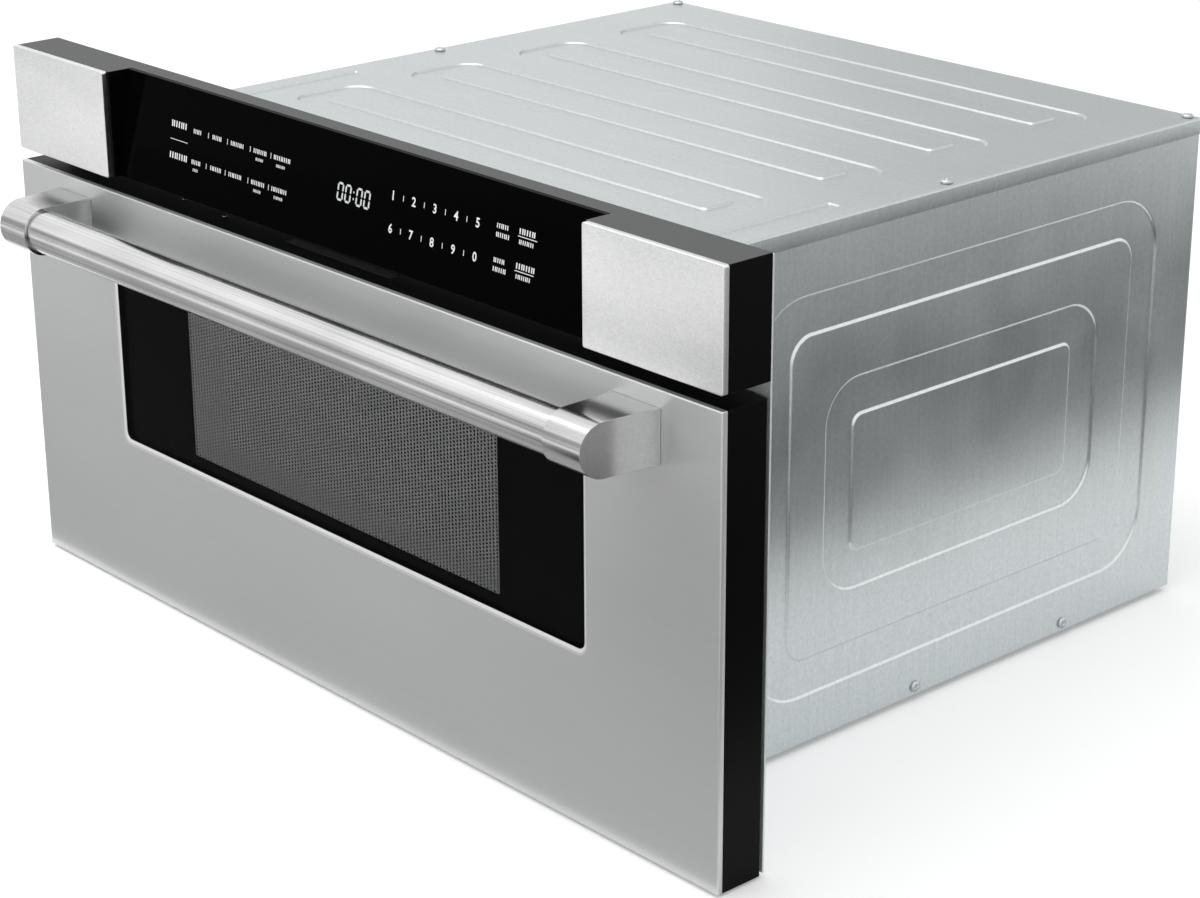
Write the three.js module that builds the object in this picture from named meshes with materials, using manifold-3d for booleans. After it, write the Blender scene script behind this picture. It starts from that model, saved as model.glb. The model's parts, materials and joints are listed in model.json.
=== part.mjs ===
// Built-in microwave drawer, in millimetres, +Z up, front facing -Y.
// The drawer (front, tub, tray, inner rails and rack) slides out along -Y from a fixed cabinet that holds the
// cooking cavity, the microwave source, the fan and the control fascia.
//
// All pieces are laid out with y = 0 on the steel face of the front and z = 0 on the surface that the cabinet
// stands on. The last lines move everything back so that the origin is at the middle of the base.

import * as THREE from 'three';
import { mergeVertices } from 'three/addons/utils/BufferGeometryUtils.js';
import Module from 'manifold-3d';

const wasm = await Module();
wasm.setup();

// ---------------------------------------------------------------------------------------------------------
// Driving dimensions
// ---------------------------------------------------------------------------------------------------------

const seat = 0.2; // gap left between two pieces that are fastened to each other
const runningGap = 0.4; // gap between two pieces that slide or turn in each other

// Front as a whole
const frontWidth = 759;
const doorLift = 2; // bottom edge of the drawer front above the surface
const doorHeight = 314;
const fasciaGap = 9.5; // between the top of the drawer front and the fascia
const fasciaHeight = 78;
const doorDepth = 36.7;
const fasciaDepth = 39.3;
const skinReturn = 4.35; // how far the stainless skins wrap back round their edges
const skinWall = 1.2;

// Window of the drawer front
const windowInset = 121.5; // from the end of the drawer front to the window
const windowHeight = 141.5;
const windowDrop = 50; // upper edge of the window below the top of the drawer front
const windowCorner = 6;
const windowBevel = 4.5; // width of the bevel round the window's edge
const glassThickness = 3;
const glassLap = 8; // how far the glass reaches behind the skin's edge
const pocketGap = 1; // round the glass, in the door frame
const screenWall = 0.6;
const sightWidth = 344; // clear opening that the perforated screen covers
const sightDrop = 6; // clear opening below the window's upper edge
const sightRise = 9.5; // and above its lower edge

// Drawer front behind the skin
const frameWall = 3;
const frameWeb = 2;
const linerWall = 2;
const chokeWall = 1.5;
const chokeDepth = 9.6; // how far the choke ring stands off the liner
const chokeCoverWall = 1.8;
const chokeCoverLap = 12.2; // the cover is this much higher than the mouth, above and below

// Handle
const barRadius = 15.6;
const postRadius = 17.8;
const handleReach = 38.9; // bar axis in front of the steel face
const handleDrop = 29; // bar axis below the top of the drawer front
const postInset = 92.9; // from the end of the drawer front to the inner face of a post
const postWidth = 33.4; // at its round front
const postTaper = 6.2; // the outer face widens by this toward the drawer front
const footFlare = 2.1; // both faces then flare out by this where the post stands on the drawer front
const footDepth = 7;
const footRim = 1.2; // thickness of the foot's edge
const barWall = 2; // the bar is a tube that fits over a plug on each post
const plugLength = 14;

// Control fascia
const capWidth = 120.5;
const capCorner = 2;
const controlGlassThickness = 3;
const controlGlassBottomDepth = 9.5; // glass face behind the steel face, at its lower edge
const controlGlassTopDepth = 21.5; // the same at its upper edge
const fasciaWall = 3;
const boardThickness = 1.6;
const controlBoardWidth = 300;
const controlBoardHeight = 54;
const displayWidth = 60;
const displayHeight = 26;
const displayCentreX = 15.5; // the clock sits right of the middle
const displayRise = 41; // middle of the display above the fascia's lower edge
const displayDepth = 9.6;
const boardBehindFace = 8.3; // front of the control board before the fascia's back face
const boardWindowMargin = 20; // the opening behind the control board is wider than it at each end
const capMargin = 2; // between the control glass and an end cap
const glassBottomMargin = 0.6;
const glassTopMargin = 0.3;

// Cabinet
const frontOverhang = 105.4; // the front reaches past the cabinet at each side
const cabinetBottom = 4.6;
const lidRise = 53; // top of the cabinet above the top of the drawer front
const cabinetBack = 581;
const coverWall = 0.8;
const coverLip = 12;
const panelWall = 1;
const panWall = 1.2;
const panFlange = 22;
const panelTopFlange = 14;
const frameFlangeWall = 1.5; // thickness of the front frame
const frameInset = 0.5; // the front frame is this much narrower than the front, at each end
const backPanelInset = 2; // back panel in front of the cabinet's back edge
const embossDepth = 1.6;
const channelFlats = 4; // flats in each round corner of a pressed channel
const footRadius = 14;
const footFrontY = 80;
const footBackInset = 41;
const footSideInset = 39.1;

// Pressed channels of a side panel: each is the band between two rounded rectangles, whose places are given
// from the front, back, bottom and top of the cabinet
const channel1Front = 93.8;
const channel1Back = 43;
const channel1Bottom = 34.8;
const channel1Top = 47;
const channel1Corner = 42;
const channel1FrontBand = 31;
const channel1BackBand = 27;
const channel1LevelBand = 27;
const channel1InnerCorner = 18;
const channel2Front = 158.3;
const channel2Back = 105;
const channel2Bottom = 100.7;
const channel2Top = 112.3;
const channel2Corner = 31;
const channel2FrontBand = 25.5;
const channel2BackBand = 29;
const channel2LevelBand = 27;
const channel2InnerCorner = 8;

// Pressed channels of the lid, one behind the other, and the short strips beside the front one
const ribCount = 4;
const ribFrontInset = 95; // from the front of the cabinet to the first one
const ribBackInset = 55.1; // from the last one to the back of the cabinet
const ribDepthY = 66.6;
const ribSideInset = 52.1;
const ribBand = 20;
const ribCorner = 18;
const ribInnerCorner = 4;
const lidStripInset = 18.1;
const lidStripWidth = 10;
const lidStripLength = 183.8;
const lidStripDepth = 1.2;

// Screws
const screwHeadRadius = 4.2;
const screwHeadHeight = 2.4;
const screwShankRadius = 1.9;
const screwShankLength = 6;
const screwHoleRadius = 2.3;
const topScrewInset = 8.1;
const topScrewFront = 274.8; // from the front of the cabinet to the front screws of the lid
const topScrewBack = 6.5; // from the back of the cabinet to the rear ones
const sideScrewFront = 253.8;
const sideScrewBack = 126.5;
const sideScrewRise = 6.4;

// Cooking cavity, its mouth and the drawer's box
const cavityWall = 1.2;
const cavityBay = 48.1; // from the cavity's side wall to the outside of the cabinet
const cavityRise = 97.2; // cavity floor above the lower edge of the drawer front
const cavityDrop = 17.2; // cavity roof below the top of the drawer front
const rearBay = 99; // behind the cavity
const mouthFlange = 12;
const mouthClearance = 2.5; // between the choke ring and the mouth
const tubWall = 1.2;
const tubSideGap = 6; // tub to the cavity's side wall
const tubFloorGap = 5.3;
const tubRoofGap = 58.8;
const tubBackGap = 14;
const trayThickness = 5;
const trayEdgeGap = 0.6;
const trayCorner = 4;

// Slides
const travel = 381; // 15 inches
const railOverlap = 71; // length that the slides keep in each other when the drawer is out
const railWall = 1.2;
const railHeight = 45;
const railDepth = 11.2;
const railRise = 27.4; // rails above the underside of the cabinet
const railBay = 11.3; // from the fixed rail's web to the outside of the cabinet
const railInset = 2; // rails behind the cabinet's front edge
const innerRailLip = 2.4; // the inner rail's flanges stop this far from the middle rail's web
const railTabHalf = 12;
const driveBayMargin = 6; // of the front frame's lower opening, round the rails
const driveBaySideMargin = 3.2;

// Drawer drive: rack above, pinion below, both under the cavity
const gearModule = 1.5;
const pinionTeeth = 18;
const pressureAngle = THREE.MathUtils.degToRad(20);
const toothRelief = 0.12; // taken off each flank, for backlash
const gearWidth = 10;
const pinionY = 80;
const pinionRise = 41.4; // above the underside of the cabinet
const rackBody = 9;
const rackOverrun = 25; // rack left behind the pinion when the drawer is out
const pinionShaftRadius = 3;
const pinionShaftLength = 14;
const gearboxSize = [50, 60, 64]; // x, y, z
const gearboxGap = 2; // between the pinion's side and the gearbox
const gearboxFoot = 3; // thickness of the gearbox's foot
const driveCanRadius = 20;
const driveCanLength = 55;
const rackGuideWall = 5;
const rackGuideHalf = 10; // half the guide's length along the rack

// Microwave source
const guideHalfWidth = 45;
const guideHeight = 34;
const guideLength = 192;
const guideBackInset = 9; // from its back end to the back of the cabinet
const guideWall = 1.2;
const launchRadius = 28;
const launchInset = 32; // from the front end of the waveguide
const antennaRadius = 8;
const antennaHeight = 20;
const antennaInset = 37; // from the back end of the waveguide
const magnetronSize = [80, 58, 62]; // x, y, z
const yoke = 3; // wall of the frame round the fins
const filterBoxHeight = 16;
const anodeRadius = 20;
const finCount = 6;
const finWall = 0.8;
const transformerSideInset = 94.1; // from its middle to the left side of the cabinet
const transformerInset = 51; // from its middle to the back of the cabinet
const transformerSize = [100, 60, 84]; // x, y, z
const transformerLeg = 30;
const coilBand = 22;
const capacitorOffset = 95; // right of the transformer
const capacitorLength = 54;
const capacitorDepth = 34;
const capacitorHeight = 92;
const terminalOffset = 12;
const terminalHeight = 9;

// Stirrer and lamp
const stirrerY = 255;
const stirrerShaftRadius = 3;
const stirrerBladeRadius = 90;
const stirrerBladeWidth = 30;
const stirrerBladeThickness = 1.5;
const stirrerBladeCount = 3;
const stirrerDrop = 9.8; // blades below the cavity's roof
const stirrerMotorRadius = 24;
const stirrerMotorHeight = 18;
const stirrerShaftEnd = 5; // shaft's upper end below the top of its motor
const stirrerHubRadius = 12;
const stirrerHubHeight = 3.5;
const stirrerBladeRoot = 6; // where a blade begins, from the axis
const stirrerBladeCorner = 8;
const coverSheet = 1.5;
const coverDrop = 4.5; // underside of the cover below the stirrer's blades
const coverSetback = 10; // cover behind the cavity's mouth
const coverLedge = 4;
const ledgeWall = 1.4;
const lampX = 135;
const lampY = 150;
const lampRadius = 11;
const lampClearance = 2; // round the bulb, in the roof's hole
const lampHolder = [32, 28, 22]; // x, y, z

// Power board, and what stands on it, in steps of its grid from its front left corner
const powerBoardLeft = 200; // from the middle of the cabinet to its left edge
const powerBoardFront = 70;
const powerBoardRise = 6;
const boardGrid = 2;
const powerBoardSteps = [60, 65];
const powerBoardParts = [
  { from: [5, 10], size: [15, 18, 11] }, // transformer
  { from: [25, 9], size: [11, 8, 8] }, // relays
  { from: [25, 21], size: [11, 8, 8] },
  { from: [44, 11], size: [8, 8, 10] }, // capacitor
  { from: [5, 40], size: [45, 16, 6] }, // heat sink
];

// Fan
const fanInset = 124.1; // from its middle to the right side of the cabinet
const fanZ = 250;
const fanFrame = 120;
const fanFrameDepth = 30;
const fanBore = 54;
const fanTipGap = 3;
const fanBlades = 7;
const fanBladeThickness = 1.6;
const fanBladeAngle = THREE.MathUtils.degToRad(35);
const fanRotorInset = [4, 6]; // rotor behind the housing's front and before its back
const fanShaftRadius = 3;
const fanHubRadius = 20;
const fanMotorRadius = 21;
const fanMotorLength = 24;
const fanBridge = 3;
const fanBridgeHalf = 9;
const fanGuardLap = 6; // the back panel's opening is this much smaller than the fan's bore
const fanGuardBars = 3;
const fanGuardWidth = 6;

// Vent slots in the back panel, behind the transformer
const ventCount = 7;
const ventBottom = 170;
const ventPitch = 14;
const ventHeight = 5;
const ventLength = 80;

// Interlocks
const hookBay = 18.1; // from the hook to the outside of the cabinet
const hookWall = 3;
const hookHeight = 16;
const hookRise = 12.8; // lower edge of the hook above the middle of the mouth
const hookCoverGap = 6; // between the middle of the hook and the choke cover
const hookReach = 29;
const hookClearance = 2.5; // round the hook, in the front frame's slot
const hookBaseLap = 7; // the hook's base is this much higher than its arm, above and below
const hookBaseReach = 6;
const hookNotch = { depth: 7, width: 7, tip: 5 };
const switchGap = 1.1; // between the hook and the switch
const switchBracket = { x: [5, 13], wall: 1.5, half: 25 };
const switchSize = [9, 28, 40]; // x, y, z

// Cord gland
const glandInset = 34.1; // from the left side of the cabinet
const glandZ = 130;
const glandBore = 4.5;
const glandBody = 8;
const glandHead = 12;
const glandHeadDepth = 4;
const glandProud = 7;
const glandInside = 6;

// Worked out from the above
const halfWidth = frontWidth / 2;
const windowWidth = frontWidth - 2 * windowInset;
const postSpan = frontWidth - 2 * postInset; // between the inner faces of the posts
const capInset = halfWidth - capWidth;
const cabinetWidth = frontWidth - 2 * frontOverhang;
const doorTop = doorLift + doorHeight;
const cabinetTop = doorTop + lidRise;
const fasciaBottom = doorTop + fasciaGap;
const fasciaTop = fasciaBottom + fasciaHeight;
const windowTop = doorTop - windowDrop;
const windowBottom = windowTop - windowHeight;
const sightTop = windowTop - sightDrop;
const sightBottom = windowBottom + sightRise;
const handleHeight = doorTop - handleDrop;
const displayCentreZ = fasciaBottom + displayRise;
const frameFace = fasciaDepth + seat; // front face of the front frame
const frameBack = frameFace + frameFlangeWall;
const cabinetFront = frameBack + seat;
const coverHalf = cabinetWidth / 2;
const panelOuter = coverHalf - coverWall - seat;
const panelInner = panelOuter - panelWall;
const panelTop = cabinetTop - coverWall - seat;
const panelBack = cabinetBack - coverWall - seat;
const panOuter = panelInner - seat;
const panTop = cabinetBottom + panWall;
const backPanelBack = cabinetBack - backPanelInset;
const backPanelFront = backPanelBack - panWall;
const linerBack = doorDepth - seat;
const linerFront = linerBack - linerWall;
const behindLiner = linerBack + seat; // where pieces fastened to the liner's back begin
const glassFront = skinWall + seat;
const glassBack = glassFront + glassThickness;
const screenFront = glassBack + seat;
const screenBack = screenFront + screenWall;
const webFront = screenBack + seat;
const webBack = webFront + frameWeb;
const cavityHalfWidth = coverHalf - cavityBay;
const cavityFloor = doorLift + cavityRise;
const cavityRoof = doorTop - cavityDrop;
const cavityBack = cabinetBack - rearBay;
const mouthTop = cavityRoof;
const mouthBottom = cavityFloor;
const mouthMiddle = (mouthBottom + mouthTop) / 2;
const tubHalfWidth = cavityHalfWidth - tubSideGap;
const tubBottom = cavityFloor + tubFloorGap;
const tubTop = cavityRoof - tubRoofGap;
const tubBack = cavityBack - tubBackGap;
const stirrerBladeZ = cavityRoof - stirrerDrop;
const guideBack = cabinetBack - guideBackInset;
const guideFront = guideBack - guideLength;
const launchY = guideFront + launchInset;
const antennaY = guideBack - antennaInset;
const transformerX = -(coverHalf - transformerSideInset);
const transformerY = cabinetBack - transformerInset;
const capacitorX = transformerX + capacitorOffset;
const fanX = coverHalf - fanInset;
const glandX = -(coverHalf - glandInset);
const hookX = coverHalf - hookBay;
const hookZ = [mouthMiddle + hookRise, mouthMiddle + hookRise + hookHeight];
const chokeCoverHalf = hookX - hookCoverGap;
const railBottom = cabinetBottom + railRise;
const railWebX = coverHalf - railBay; // outer face of the fixed rail's web
const pinionZ = cabinetBottom + pinionRise;
const footX = coverHalf - footSideInset;
const footBackY = cabinetBack - footBackInset;
const topScrewX = coverHalf - topScrewInset;
const topScrewsY = [cabinetFront + topScrewFront, cabinetBack - topScrewBack];
const sideScrewsY = [cabinetFront + sideScrewFront, cabinetBack - sideScrewBack];
const sideScrewZ = cabinetBottom + sideScrewRise;
const ribHalfLength = coverHalf - ribSideInset;
const ribFirstFront = cabinetFront + ribFrontInset;
const ribPitch = (cabinetBack - ribBackInset - ribDepthY - ribFirstFront) / (ribCount - 1);
const lidStripX = [coverHalf - lidStripInset - lidStripWidth, coverHalf - lidStripInset];
const lidStripEnd = cabinetFront + lidStripLength;
const chokeHalf = cavityHalfWidth - mouthClearance;
const roofTop = cavityRoof + cavityWall;
const trayBottom = tubBottom + tubWall + seat;
const pitchRadius = (gearModule * pinionTeeth) / 2;
const rackPitchZ = pinionZ + pitchRadius;
const rackTop = rackPitchZ + 1.25 * gearModule + rackBody;
const rackEnd = pinionY + travel + rackOverrun;
const railLength = travel + railOverlap;

// ---------------------------------------------------------------------------------------------------------
// Shape helpers
// ---------------------------------------------------------------------------------------------------------

// A closed three.js geometry becomes a solid that can be joined and cut.
function toSolid(geometry) {
  const plain = geometry.clone();
  plain.deleteAttribute('normal');
  plain.deleteAttribute('uv');
  const merged = mergeVertices(plain, 1e-4);
  return new wasm.Manifold(new wasm.Mesh({
    numProp: 3,
    vertProperties: new Float32Array(merged.attributes.position.array),
    triVerts: new Uint32Array(merged.index.array),
  }));
}

function toGeometry(solid) {
  const { vertProperties, triVerts } = solid.getMesh();
  const geometry = new THREE.BufferGeometry();
  geometry.setAttribute('position', new THREE.BufferAttribute(vertProperties, 3));
  geometry.setIndex(new THREE.BufferAttribute(triVerts, 1));
  geometry.computeVertexNormals();
  return geometry;
}

const join = (solids) => solids.reduce((whole, solid) => whole.add(solid));
const cut = (solid, ...tools) => tools.reduce((rest, tool) => rest.subtract(tool), solid);
const sorted = (a, b) => [Math.min(a, b), Math.max(a, b)];

// A block between two x, two y and two z values, each pair in either order.
function block(xs, ys, zs) {
  const [x0, x1] = sorted(...xs);
  const [y0, y1] = sorted(...ys);
  const [z0, z1] = sorted(...zs);
  const geometry = new THREE.BoxGeometry(x1 - x0, y1 - y0, z1 - z0);
  geometry.translate((x0 + x1) / 2, (y0 + y1) / 2, (z0 + z1) / 2);
  return toSolid(geometry);
}

// Bases that stand an extrusion along an axis. Its outline is drawn in (y, z), (x, z) or (x, y).
const axisBasis = {
  x: [new THREE.Vector3(0, 1, 0), new THREE.Vector3(0, 0, 1), new THREE.Vector3(1, 0, 0)],
  y: [new THREE.Vector3(1, 0, 0), new THREE.Vector3(0, 0, 1), new THREE.Vector3(0, -1, 0)],
  z: [new THREE.Vector3(1, 0, 0), new THREE.Vector3(0, 1, 0), new THREE.Vector3(0, 0, 1)],
};

// An outline extruded along an axis between two places on it, with so many flats on each of its arcs.
function prism(axis, outline, ends, flats = 6) {
  const [from, to] = sorted(...ends);
  const curveSegments = flats / 2; // an extrusion divides an arc twice as finely as its other curves
  const settings = { depth: to - from, bevelEnabled: false, curveSegments };
  const geometry = new THREE.ExtrudeGeometry(outline, settings);
  const start = { x: [from, 0, 0], y: [0, to, 0], z: [0, 0, from] }[axis];
  geometry.applyMatrix4(new THREE.Matrix4().makeBasis(...axisBasis[axis]).setPosition(...start));
  return toSolid(geometry);
}

// A round bar along an axis, with its middle at two coordinates in the order of the outline above.
function rod(axis, radius, centre, ends, flats = 32) {
  const outline = new THREE.Shape().absarc(centre[0], centre[1], radius, 0, 2 * Math.PI, false);
  return prism(axis, outline, ends, flats);
}

// A rectangle with round corners, as an outline.
function roundedRectangle([a0, a1], [b0, b1], r) {
  const outline = new THREE.Shape();
  outline.moveTo(a0 + r, b0);
  outline.lineTo(a1 - r, b0);
  outline.absarc(a1 - r, b0 + r, r, -Math.PI / 2, 0, false);
  outline.lineTo(a1, b1 - r);
  outline.absarc(a1 - r, b1 - r, r, 0, Math.PI / 2, false);
  outline.lineTo(a0 + r, b1);
  outline.absarc(a0 + r, b1 - r, r, Math.PI / 2, Math.PI, false);
  outline.lineTo(a0, b0 + r);
  outline.absarc(a0 + r, b0 + r, r, Math.PI, 1.5 * Math.PI, false);
  return outline;
}

function polygon(points) {
  return new THREE.Shape(points.map(([u, v]) => new THREE.Vector2(u, v)));
}

const both = (half) => [-half, half];
const grown = ([low, high], by) => [low - by, high + by];

// A pan head screw with its head's underside at the given place, pointing along -Z before it is turned.
function screwGeometry() {
  const profile = [
    [0, -screwShankLength],
    [screwShankRadius, -screwShankLength],
    [screwShankRadius, 0],
    [screwHeadRadius, 0],
    [screwHeadRadius, screwHeadHeight * 0.5],
    [screwHeadRadius * 0.6, screwHeadHeight],
    [0, screwHeadHeight],
  ].map(([r, z]) => new THREE.Vector2(r, z));
  return new THREE.LatheGeometry(profile, 12).rotateX(Math.PI / 2);
}

// ---------------------------------------------------------------------------------------------------------
// Finishes
// ---------------------------------------------------------------------------------------------------------

const finishes = {
  brushedSteel: { color: 0xb9babb, roughness: 0.32, metalness: 1 },
  polishedSteel: { color: 0xc8c8c9, roughness: 0.18, metalness: 1 },
  galvanised: { color: 0xa9adae, roughness: 0.45, metalness: 0.9 },
  plainSteel: { color: 0x9a9c9e, roughness: 0.5, metalness: 0.9 },
  cavityEnamel: { color: 0x8f9294, roughness: 0.55, metalness: 0.3 },
  blackPaint: { color: 0x0b0b0c, roughness: 0.4, metalness: 0 },
  blackGlass: { color: 0x08080a, roughness: 0.06, metalness: 0 },
  darkScreen: { color: 0x3a3b3d, roughness: 0.5, metalness: 0.6 },
  ceramic: { color: 0xd9d8d4, roughness: 0.25, metalness: 0 },
  mica: { color: 0xb9b3a2, roughness: 0.6, metalness: 0 },
  board: { color: 0x2d5a3a, roughness: 0.6, metalness: 0 },
  lacquer: { color: 0x8a5a30, roughness: 0.5, metalness: 0.4 },
  whitePlastic: { color: 0xd6d6d2, roughness: 0.5, metalness: 0 },
  greyPlastic: { color: 0x55585b, roughness: 0.6, metalness: 0 },
};

const drawer = new THREE.Group();

// Adds a solid or a geometry to the model as a named piece with its own finish.
function addPiece(name, shape, finish) {
  const geometry = shape.isBufferGeometry ? shape : toGeometry(shape);
  const mesh = new THREE.Mesh(geometry, new THREE.MeshStandardMaterial(finishes[finish]));
  mesh.name = name;
  drawer.add(mesh);
  return mesh;
}

const sides = { left: -1, right: 1 };

// ---------------------------------------------------------------------------------------------------------
// Cabinet
// ---------------------------------------------------------------------------------------------------------

function basePan() {
  const ys = [cabinetFront, backPanelFront - seat];
  const carrierInner = railWebX + seat;
  const carrierTop = cavityFloor - cavityWall - seat;
  const pieces = [block(both(panOuter), ys, [cabinetBottom, panTop])];
  for (const side of [-1, 1]) {
    const carrier = [side * carrierInner, side * (carrierInner + panWall)];
    const ledge = [side * (cavityHalfWidth - panWall), side * (carrierInner + panWall)];
    const carrierYs = [cabinetFront, cavityBack];
    const flange = [side * (panOuter - panWall), side * panOuter];
    pieces.push(block(flange, ys, [cabinetBottom, cabinetBottom + panFlange]));
    pieces.push(block(carrier, carrierYs, [cabinetBottom, carrierTop]));
    pieces.push(block(ledge, carrierYs, [carrierTop - panWall, carrierTop]));
    for (const y of [footFrontY, footBackY]) {
      pieces.push(rod('z', footRadius, [side * footX, y], [0, panTop], 12));
    }
  }
  const holes = [-1, 1].flatMap((side) => sideScrewsY.map((y) => {
    const through = [side * (panOuter - panWall - 1), side * (panOuter + 1)];
    return rod('x', screwHoleRadius, [y, sideScrewZ], through, 12);
  }));
  return cut(join(pieces), ...holes);
}

// The band between two rounded rectangles, widened on both sides by a margin.
function channelBand(axis, outer, inner, margin, ends) {
  const [outerU, outerV, outerR] = outer;
  const [innerU, innerV, innerR] = inner;
  const band = roundedRectangle(grown(outerU, margin), grown(outerV, margin), outerR + margin);
  band.holes.push(roundedRectangle(grown(innerU, -margin), grown(innerV, -margin), innerR - margin));
  return prism(axis, band, ends, channelFlats);
}

// Presses a channel into a sheet: the metal moves inward by the emboss depth and keeps its thickness.
function pressChannel(sheet, axis, outer, inner, face, wall, inward) {
  const backingEnds = [face + (inward * wall) / 2, face + inward * (wall + embossDepth)];
  const grooveEnds = [face - inward, face + inward * embossDepth];
  const backing = channelBand(axis, outer, inner, wall, backingEnds);
  const groove = channelBand(axis, outer, inner, 0, grooveEnds);
  return sheet.add(backing).subtract(groove);
}

// A side panel's channel as its outer and its inner rounded rectangle, each a y range, a z range and a corner.
function sideChannel([front, back, bottom, top], corner, [frontBand, backBand, levelBand], innerCorner) {
  const ys = [cabinetFront + front, cabinetBack - back];
  const zs = [cabinetBottom + bottom, cabinetTop - top];
  const innerYs = [ys[0] + frontBand, ys[1] - backBand];
  return [[ys, zs, corner], [innerYs, grown(zs, -levelBand), innerCorner]];
}

const sideChannels = [
  sideChannel(
    [channel1Front, channel1Back, channel1Bottom, channel1Top], channel1Corner,
    [channel1FrontBand, channel1BackBand, channel1LevelBand], channel1InnerCorner,
  ),
  sideChannel(
    [channel2Front, channel2Back, channel2Bottom, channel2Top], channel2Corner,
    [channel2FrontBand, channel2BackBand, channel2LevelBand], channel2InnerCorner,
  ),
];

function sidePanel(side) {
  const ys = [cabinetFront, panelBack];
  let panel = block([side * panelInner, side * panelOuter], ys, [cabinetBottom, panelTop]);
  const flangeXs = [side * (panelOuter - panelTopFlange), side * panelOuter];
  panel = panel.add(block(flangeXs, ys, [panelTop - panelWall, panelTop]));
  for (const [outer, inner] of sideChannels) {
    panel = pressChannel(panel, 'x', outer, inner, side * panelOuter, panelWall, -side);
  }
  const topHoles = topScrewsY.map((y) =>
    rod('z', screwHoleRadius, [side * topScrewX, y], [panelTop - 2 * panelWall, panelTop + 1], 12));
  const sideHoles = sideScrewsY.map((y) =>
    rod('x', screwHoleRadius, [y, sideScrewZ], [side * (panelInner - 1), side * (panelOuter + 1)], 12));
  return cut(panel, ...topHoles, ...sideHoles);
}

function topCover() {
  const ys = [cabinetFront, cabinetBack];
  const lipBottom = cabinetTop - coverLip;
  const shell = block(both(coverHalf), ys, [lipBottom, cabinetTop]);
  const inside = block(both(coverHalf - coverWall), [cabinetFront - 1, cabinetBack - coverWall],
    [lipBottom - 1, cabinetTop - coverWall]);
  let lid = shell.subtract(inside);
  for (let i = 0; i < ribCount; i += 1) {
    const front = ribFirstFront + i * ribPitch;
    const ribYs = [front, front + ribDepthY];
    const outer = [both(ribHalfLength), ribYs, ribCorner];
    const inner = [both(ribHalfLength - ribBand), grown(ribYs, -ribBand), ribInnerCorner];
    lid = pressChannel(lid, 'z', outer, inner, cabinetTop, coverWall, -1);
  }
  for (const side of [-1, 1]) {
    const xs = sorted(side * lidStripX[0], side * lidStripX[1]);
    const backing = block(grown(xs, coverWall), [cabinetFront, lidStripEnd + coverWall],
      [cabinetTop - coverWall - lidStripDepth, cabinetTop - coverWall / 2]);
    const groove = block(xs, [cabinetFront - 1, lidStripEnd], [cabinetTop - lidStripDepth, cabinetTop + 1]);
    lid = lid.add(backing).subtract(groove);
  }
  const holes = [-1, 1].flatMap((side) => topScrewsY.map((y) =>
    rod('z', screwHoleRadius, [side * topScrewX, y], [cabinetTop - 2, cabinetTop + 1], 12)));
  return cut(lid, ...holes);
}

function backPanel() {
  const ys = [backPanelFront, backPanelBack];
  const through = grown(ys, 1);
  const top = panelTop - panelWall - seat;
  const fanOpening = rod('y', fanBore - fanGuardLap, [fanX, fanZ], through, 24);
  let panel = block(both(panOuter), ys, [panTop + seat, top]).subtract(fanOpening);
  for (let i = 0; i < fanGuardBars; i += 1) {
    const bar = block(both(fanBore - fanGuardLap / 2), ys, both(fanGuardWidth / 2));
    panel = panel.add(bar.rotate([0, (180 * i) / fanGuardBars, 0]).translate([fanX, 0, fanZ]));
  }
  for (let i = 0; i < ventCount; i += 1) {
    const z = ventBottom + i * ventPitch;
    const xs = grown([transformerX, transformerX], ventLength / 2);
    const slot = roundedRectangle(xs, [z, z + ventHeight], ventHeight / 2 - 0.1);
    panel = panel.subtract(prism('y', slot, through, 4));
  }
  return panel.subtract(rod('y', glandBody + seat, [glandX, glandZ], through, 24));
}

function frontFrame() {
  const ys = [frameFace, frameBack];
  const through = grown(ys, 1);
  const plate = block(both(halfWidth - frameInset), ys, [doorLift + 1, fasciaTop - 1]);
  const mouth = block(both(cavityHalfWidth), through, [mouthBottom, mouthTop]);
  const driveBayZ = grown([railBottom, railBottom + railHeight], driveBayMargin);
  const driveBay = block(both(railWebX + driveBaySideMargin), through, driveBayZ);
  const hookSlots = [-1, 1].map((side) => {
    const slotX = side * hookX;
    return block(grown([slotX, slotX], hookWall / 2 + hookClearance), through, grown(hookZ, hookBaseLap));
  });
  return cut(plate, mouth, driveBay, ...hookSlots);
}

function ovenCavity() {
  const outerHalf = cavityHalfWidth + cavityWall;
  const outerZ = [cavityFloor - cavityWall, roofTop];
  const shell = block(both(outerHalf), [cabinetFront, cavityBack + cavityWall], outerZ);
  const flange = block(both(outerHalf + mouthFlange), [cabinetFront, cabinetFront + cavityWall],
    [outerZ[0], outerZ[1] + mouthFlange]);
  const hollow = block(both(cavityHalfWidth), [cabinetFront - 1, cavityBack], [cavityFloor, cavityRoof]);
  const ledgeZ = [coverBottom() - seat - ledgeWall, coverBottom() - seat];
  const ledgeYs = [cabinetFront + coverSetback, cavityBack];
  const ledges = [-1, 1].map((side) => {
    const ledgeXs = [side * (cavityHalfWidth - coverLedge), side * (cavityHalfWidth + cavityWall / 2)];
    return block(ledgeXs, ledgeYs, ledgeZ);
  });
  const roofHoles = [
    rod('z', launchRadius, [0, launchY], [cavityRoof - 1, roofTop + 1], 24),
    rod('z', stirrerShaftRadius + runningGap, [0, stirrerY], [cavityRoof - 1, roofTop + 1], 16),
    rod('z', lampRadius, [lampX, lampY], [cavityRoof - 1, roofTop + 1], 16),
  ];
  return join([cut(shell.add(flange), hollow, ...roofHoles), ...ledges]);
}

// Underside of the sheet that closes the stirrer space off from the food.
function coverBottom() {
  return stirrerBladeZ - coverDrop;
}

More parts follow.
